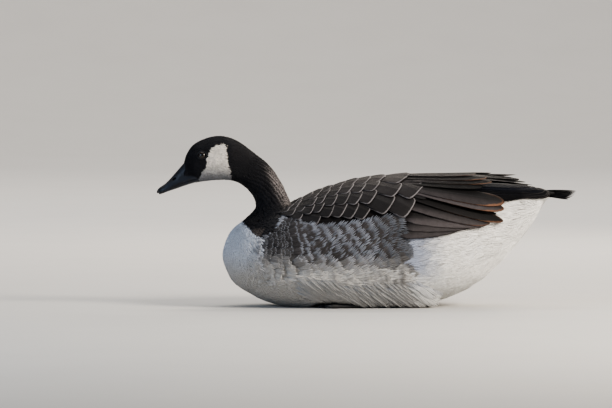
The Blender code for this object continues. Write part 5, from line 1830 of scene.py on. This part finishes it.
# The view in metres: the point in its middle, its width there, its distance and its direction.
VIEW_CENTRE = (-0.0847, 0.0, 0.1428)
VIEW_WIDTH = 0.857
VIEW_DISTANCE = 8.0
VIEW_AZIMUTH = math.radians(-2.0)
VIEW_ELEVATION = math.radians(2.2)
SENSOR_WIDTH = 36.0

# The floor in metres: its reach to the sides and in front, where it starts to sweep up, the sweep's
# radius and the wall's top.
FLOOR_REACH = 30.0
FLOOR_BACK, SWEEP, WALL_TOP = 6.0, 5.0, 20.0

# Lights: name, place, aim, size, power, colour. Warm from behind the tail, cool from ahead.
BIRD = (-0.02, 0.0, 0.12)
LIGHTS = (
    ("key", (1.6, -1.25, 1.25), BIRD, 0.8, 68.0, (1.0, 0.93, 0.83)),
    ("back", (0.7, 1.9, 1.4), BIRD, 1.0, 18.0, (1.0, 0.90, 0.78)),
    ("cool_fill", (-1.9, -1.3, 0.8), BIRD, 1.4, 19.0, (0.60, 0.77, 1.0)),
    ("top", (-0.2, 0.2, 2.3), BIRD, 1.6, 10.0, (1.0, 0.98, 0.96)),
    ("wall", (0.0, 3.0, 5.0), (0.0, 8.0, 0.5), 5.0, 400.0, (1.0, 0.96, 0.92)),
)
SKY, SKY_STRENGTH = (0.90, 0.94, 1.0, 1.0), 0.22


def floor_object():
    """A plain pale floor that sweeps up far behind."""
    nodes = Nodes("studio_floor")
    colour = nodes.mix(nodes.noise(6.0), FLOOR, FLOOR_LIGHT)
    bend = np.linspace(0.0, math.pi / 2, 16)
    sweep = np.stack([FLOOR_BACK + SWEEP * np.sin(bend), SWEEP * (1.0 - np.cos(bend))], axis=-1)
    profile = [(-FLOOR_REACH, 0.0), *sweep, (FLOOR_BACK + SWEEP, WALL_TOP)]
    points = [(x, y, z) for y, z in profile for x in (-FLOOR_REACH, FLOOR_REACH)]
    faces = [(2 * i, 2 * i + 1, 2 * i + 3, 2 * i + 2) for i in range(len(profile) - 1)]
    mesh = bpy.data.meshes.new("studio_floor")
    mesh.from_pydata(points, [], faces)
    mesh.shade_smooth()
    mesh.materials.append(nodes.finish(Base_Color=colour, Roughness=0.75, Specular_IOR_Level=0.25))
    linked("studio_floor", mesh)


def area_light(name, place_at, aim, size, power, colour):
    """A soft square light at a place, aimed at a point."""
    light = bpy.data.lights.new(name, "AREA")
    light.size = size
    light.energy = power
    light.color = colour
    obj = linked(name, light)
    obj.location = place_at
    x, y, z = np.subtract(aim, place_at)
    obj.rotation_euler = (math.pi / 2 + math.atan2(z, math.hypot(x, y)), 0.0, math.atan2(y, x) - math.pi / 2)


def light_scene():
    """Soft studio light: the lights above and an even sky."""
    for values in LIGHTS:
        area_light(*values)
    world = bpy.data.worlds.new("studio_air")
    world.use_nodes = True
    background = world.node_tree.nodes["Background"]
    background.inputs["Color"].default_value = SKY
    background.inputs["Strength"].default_value = SKY_STRENGTH
    bpy.context.scene.world = world
    bpy.context.scene.view_settings.look = "AgX - Medium High Contrast"


def camera():
    """The photograph's view: level with the bird's left side, from far off."""
    data = bpy.data.cameras.new("view")
    data.sensor_width = SENSOR_WIDTH
    data.lens = SENSOR_WIDTH * VIEW_DISTANCE / VIEW_WIDTH
    data.clip_end = 100.0
    obj = linked("view", data)
    level = math.cos(VIEW_ELEVATION)
    away = (math.sin(VIEW_AZIMUTH) * level, -math.cos(VIEW_AZIMUTH) * level, math.sin(VIEW_ELEVATION))
    obj.location = np.array(VIEW_CENTRE) + VIEW_DISTANCE * np.array(away)
    obj.rotation_euler = (math.pi / 2 - VIEW_ELEVATION, 0.0, VIEW_AZIMUTH)
    bpy.context.scene.camera = obj


# Plumage materials: roughness, sheen and its tint, specular level, variation of the tone, and the strength of
# the painted shade and light across each vane.
PLUMAGES = {
    "black": (0.66, 0.02, (0.75, 0.82, 1.0), 0.22, 0.14),
    "brown": (0.60, 0.02, (1.0, 0.92, 0.86), 0.24, 0.14),
    "pale": (0.80, 0.04, (0.96, 0.98, 1.0), 0.18, 0.05),
    "flight": (0.64, 0.02, (1.0, 0.92, 0.86), 0.18, 0.14, 0.8),
    "glossy": (0.58, 0.0, (0.6, 0.7, 1.0), 0.09, 0.14),
    "tail": (0.75, 0.0, (1.0, 1.0, 1.0), 0.12, 0.14),
}


def dress():
    """Makes every piece."""
    coats = {name: plumage_material(name + "_plumage_coat", *values) for name, values in PLUMAGES.items()}
    horn = horn_material()
    skin_object(skin_material())
    head_coat(coats["black"])
    neck_coat(coats["black"])
    for pale_coat in (breast_coat, belly_coat, flank_coat, vent_coat, curtain_coat):
        pale_coat(coats["pale"])
    covert_coats(coats["brown"])
    flight_coats(coats["flight"], coats["glossy"])
    tail_coat(coats["tail"])
    bill_objects(horn)
    eye_objects(eye_material())
    lid_objects(lid_material())
    foot_objects(foot_material(), horn)


def write_sizes():
    """Brings the scene's view layer up to date."""
    bpy.context.view_layer.update()


dress()
floor_object()
light_scene()
camera()
write_sizes()
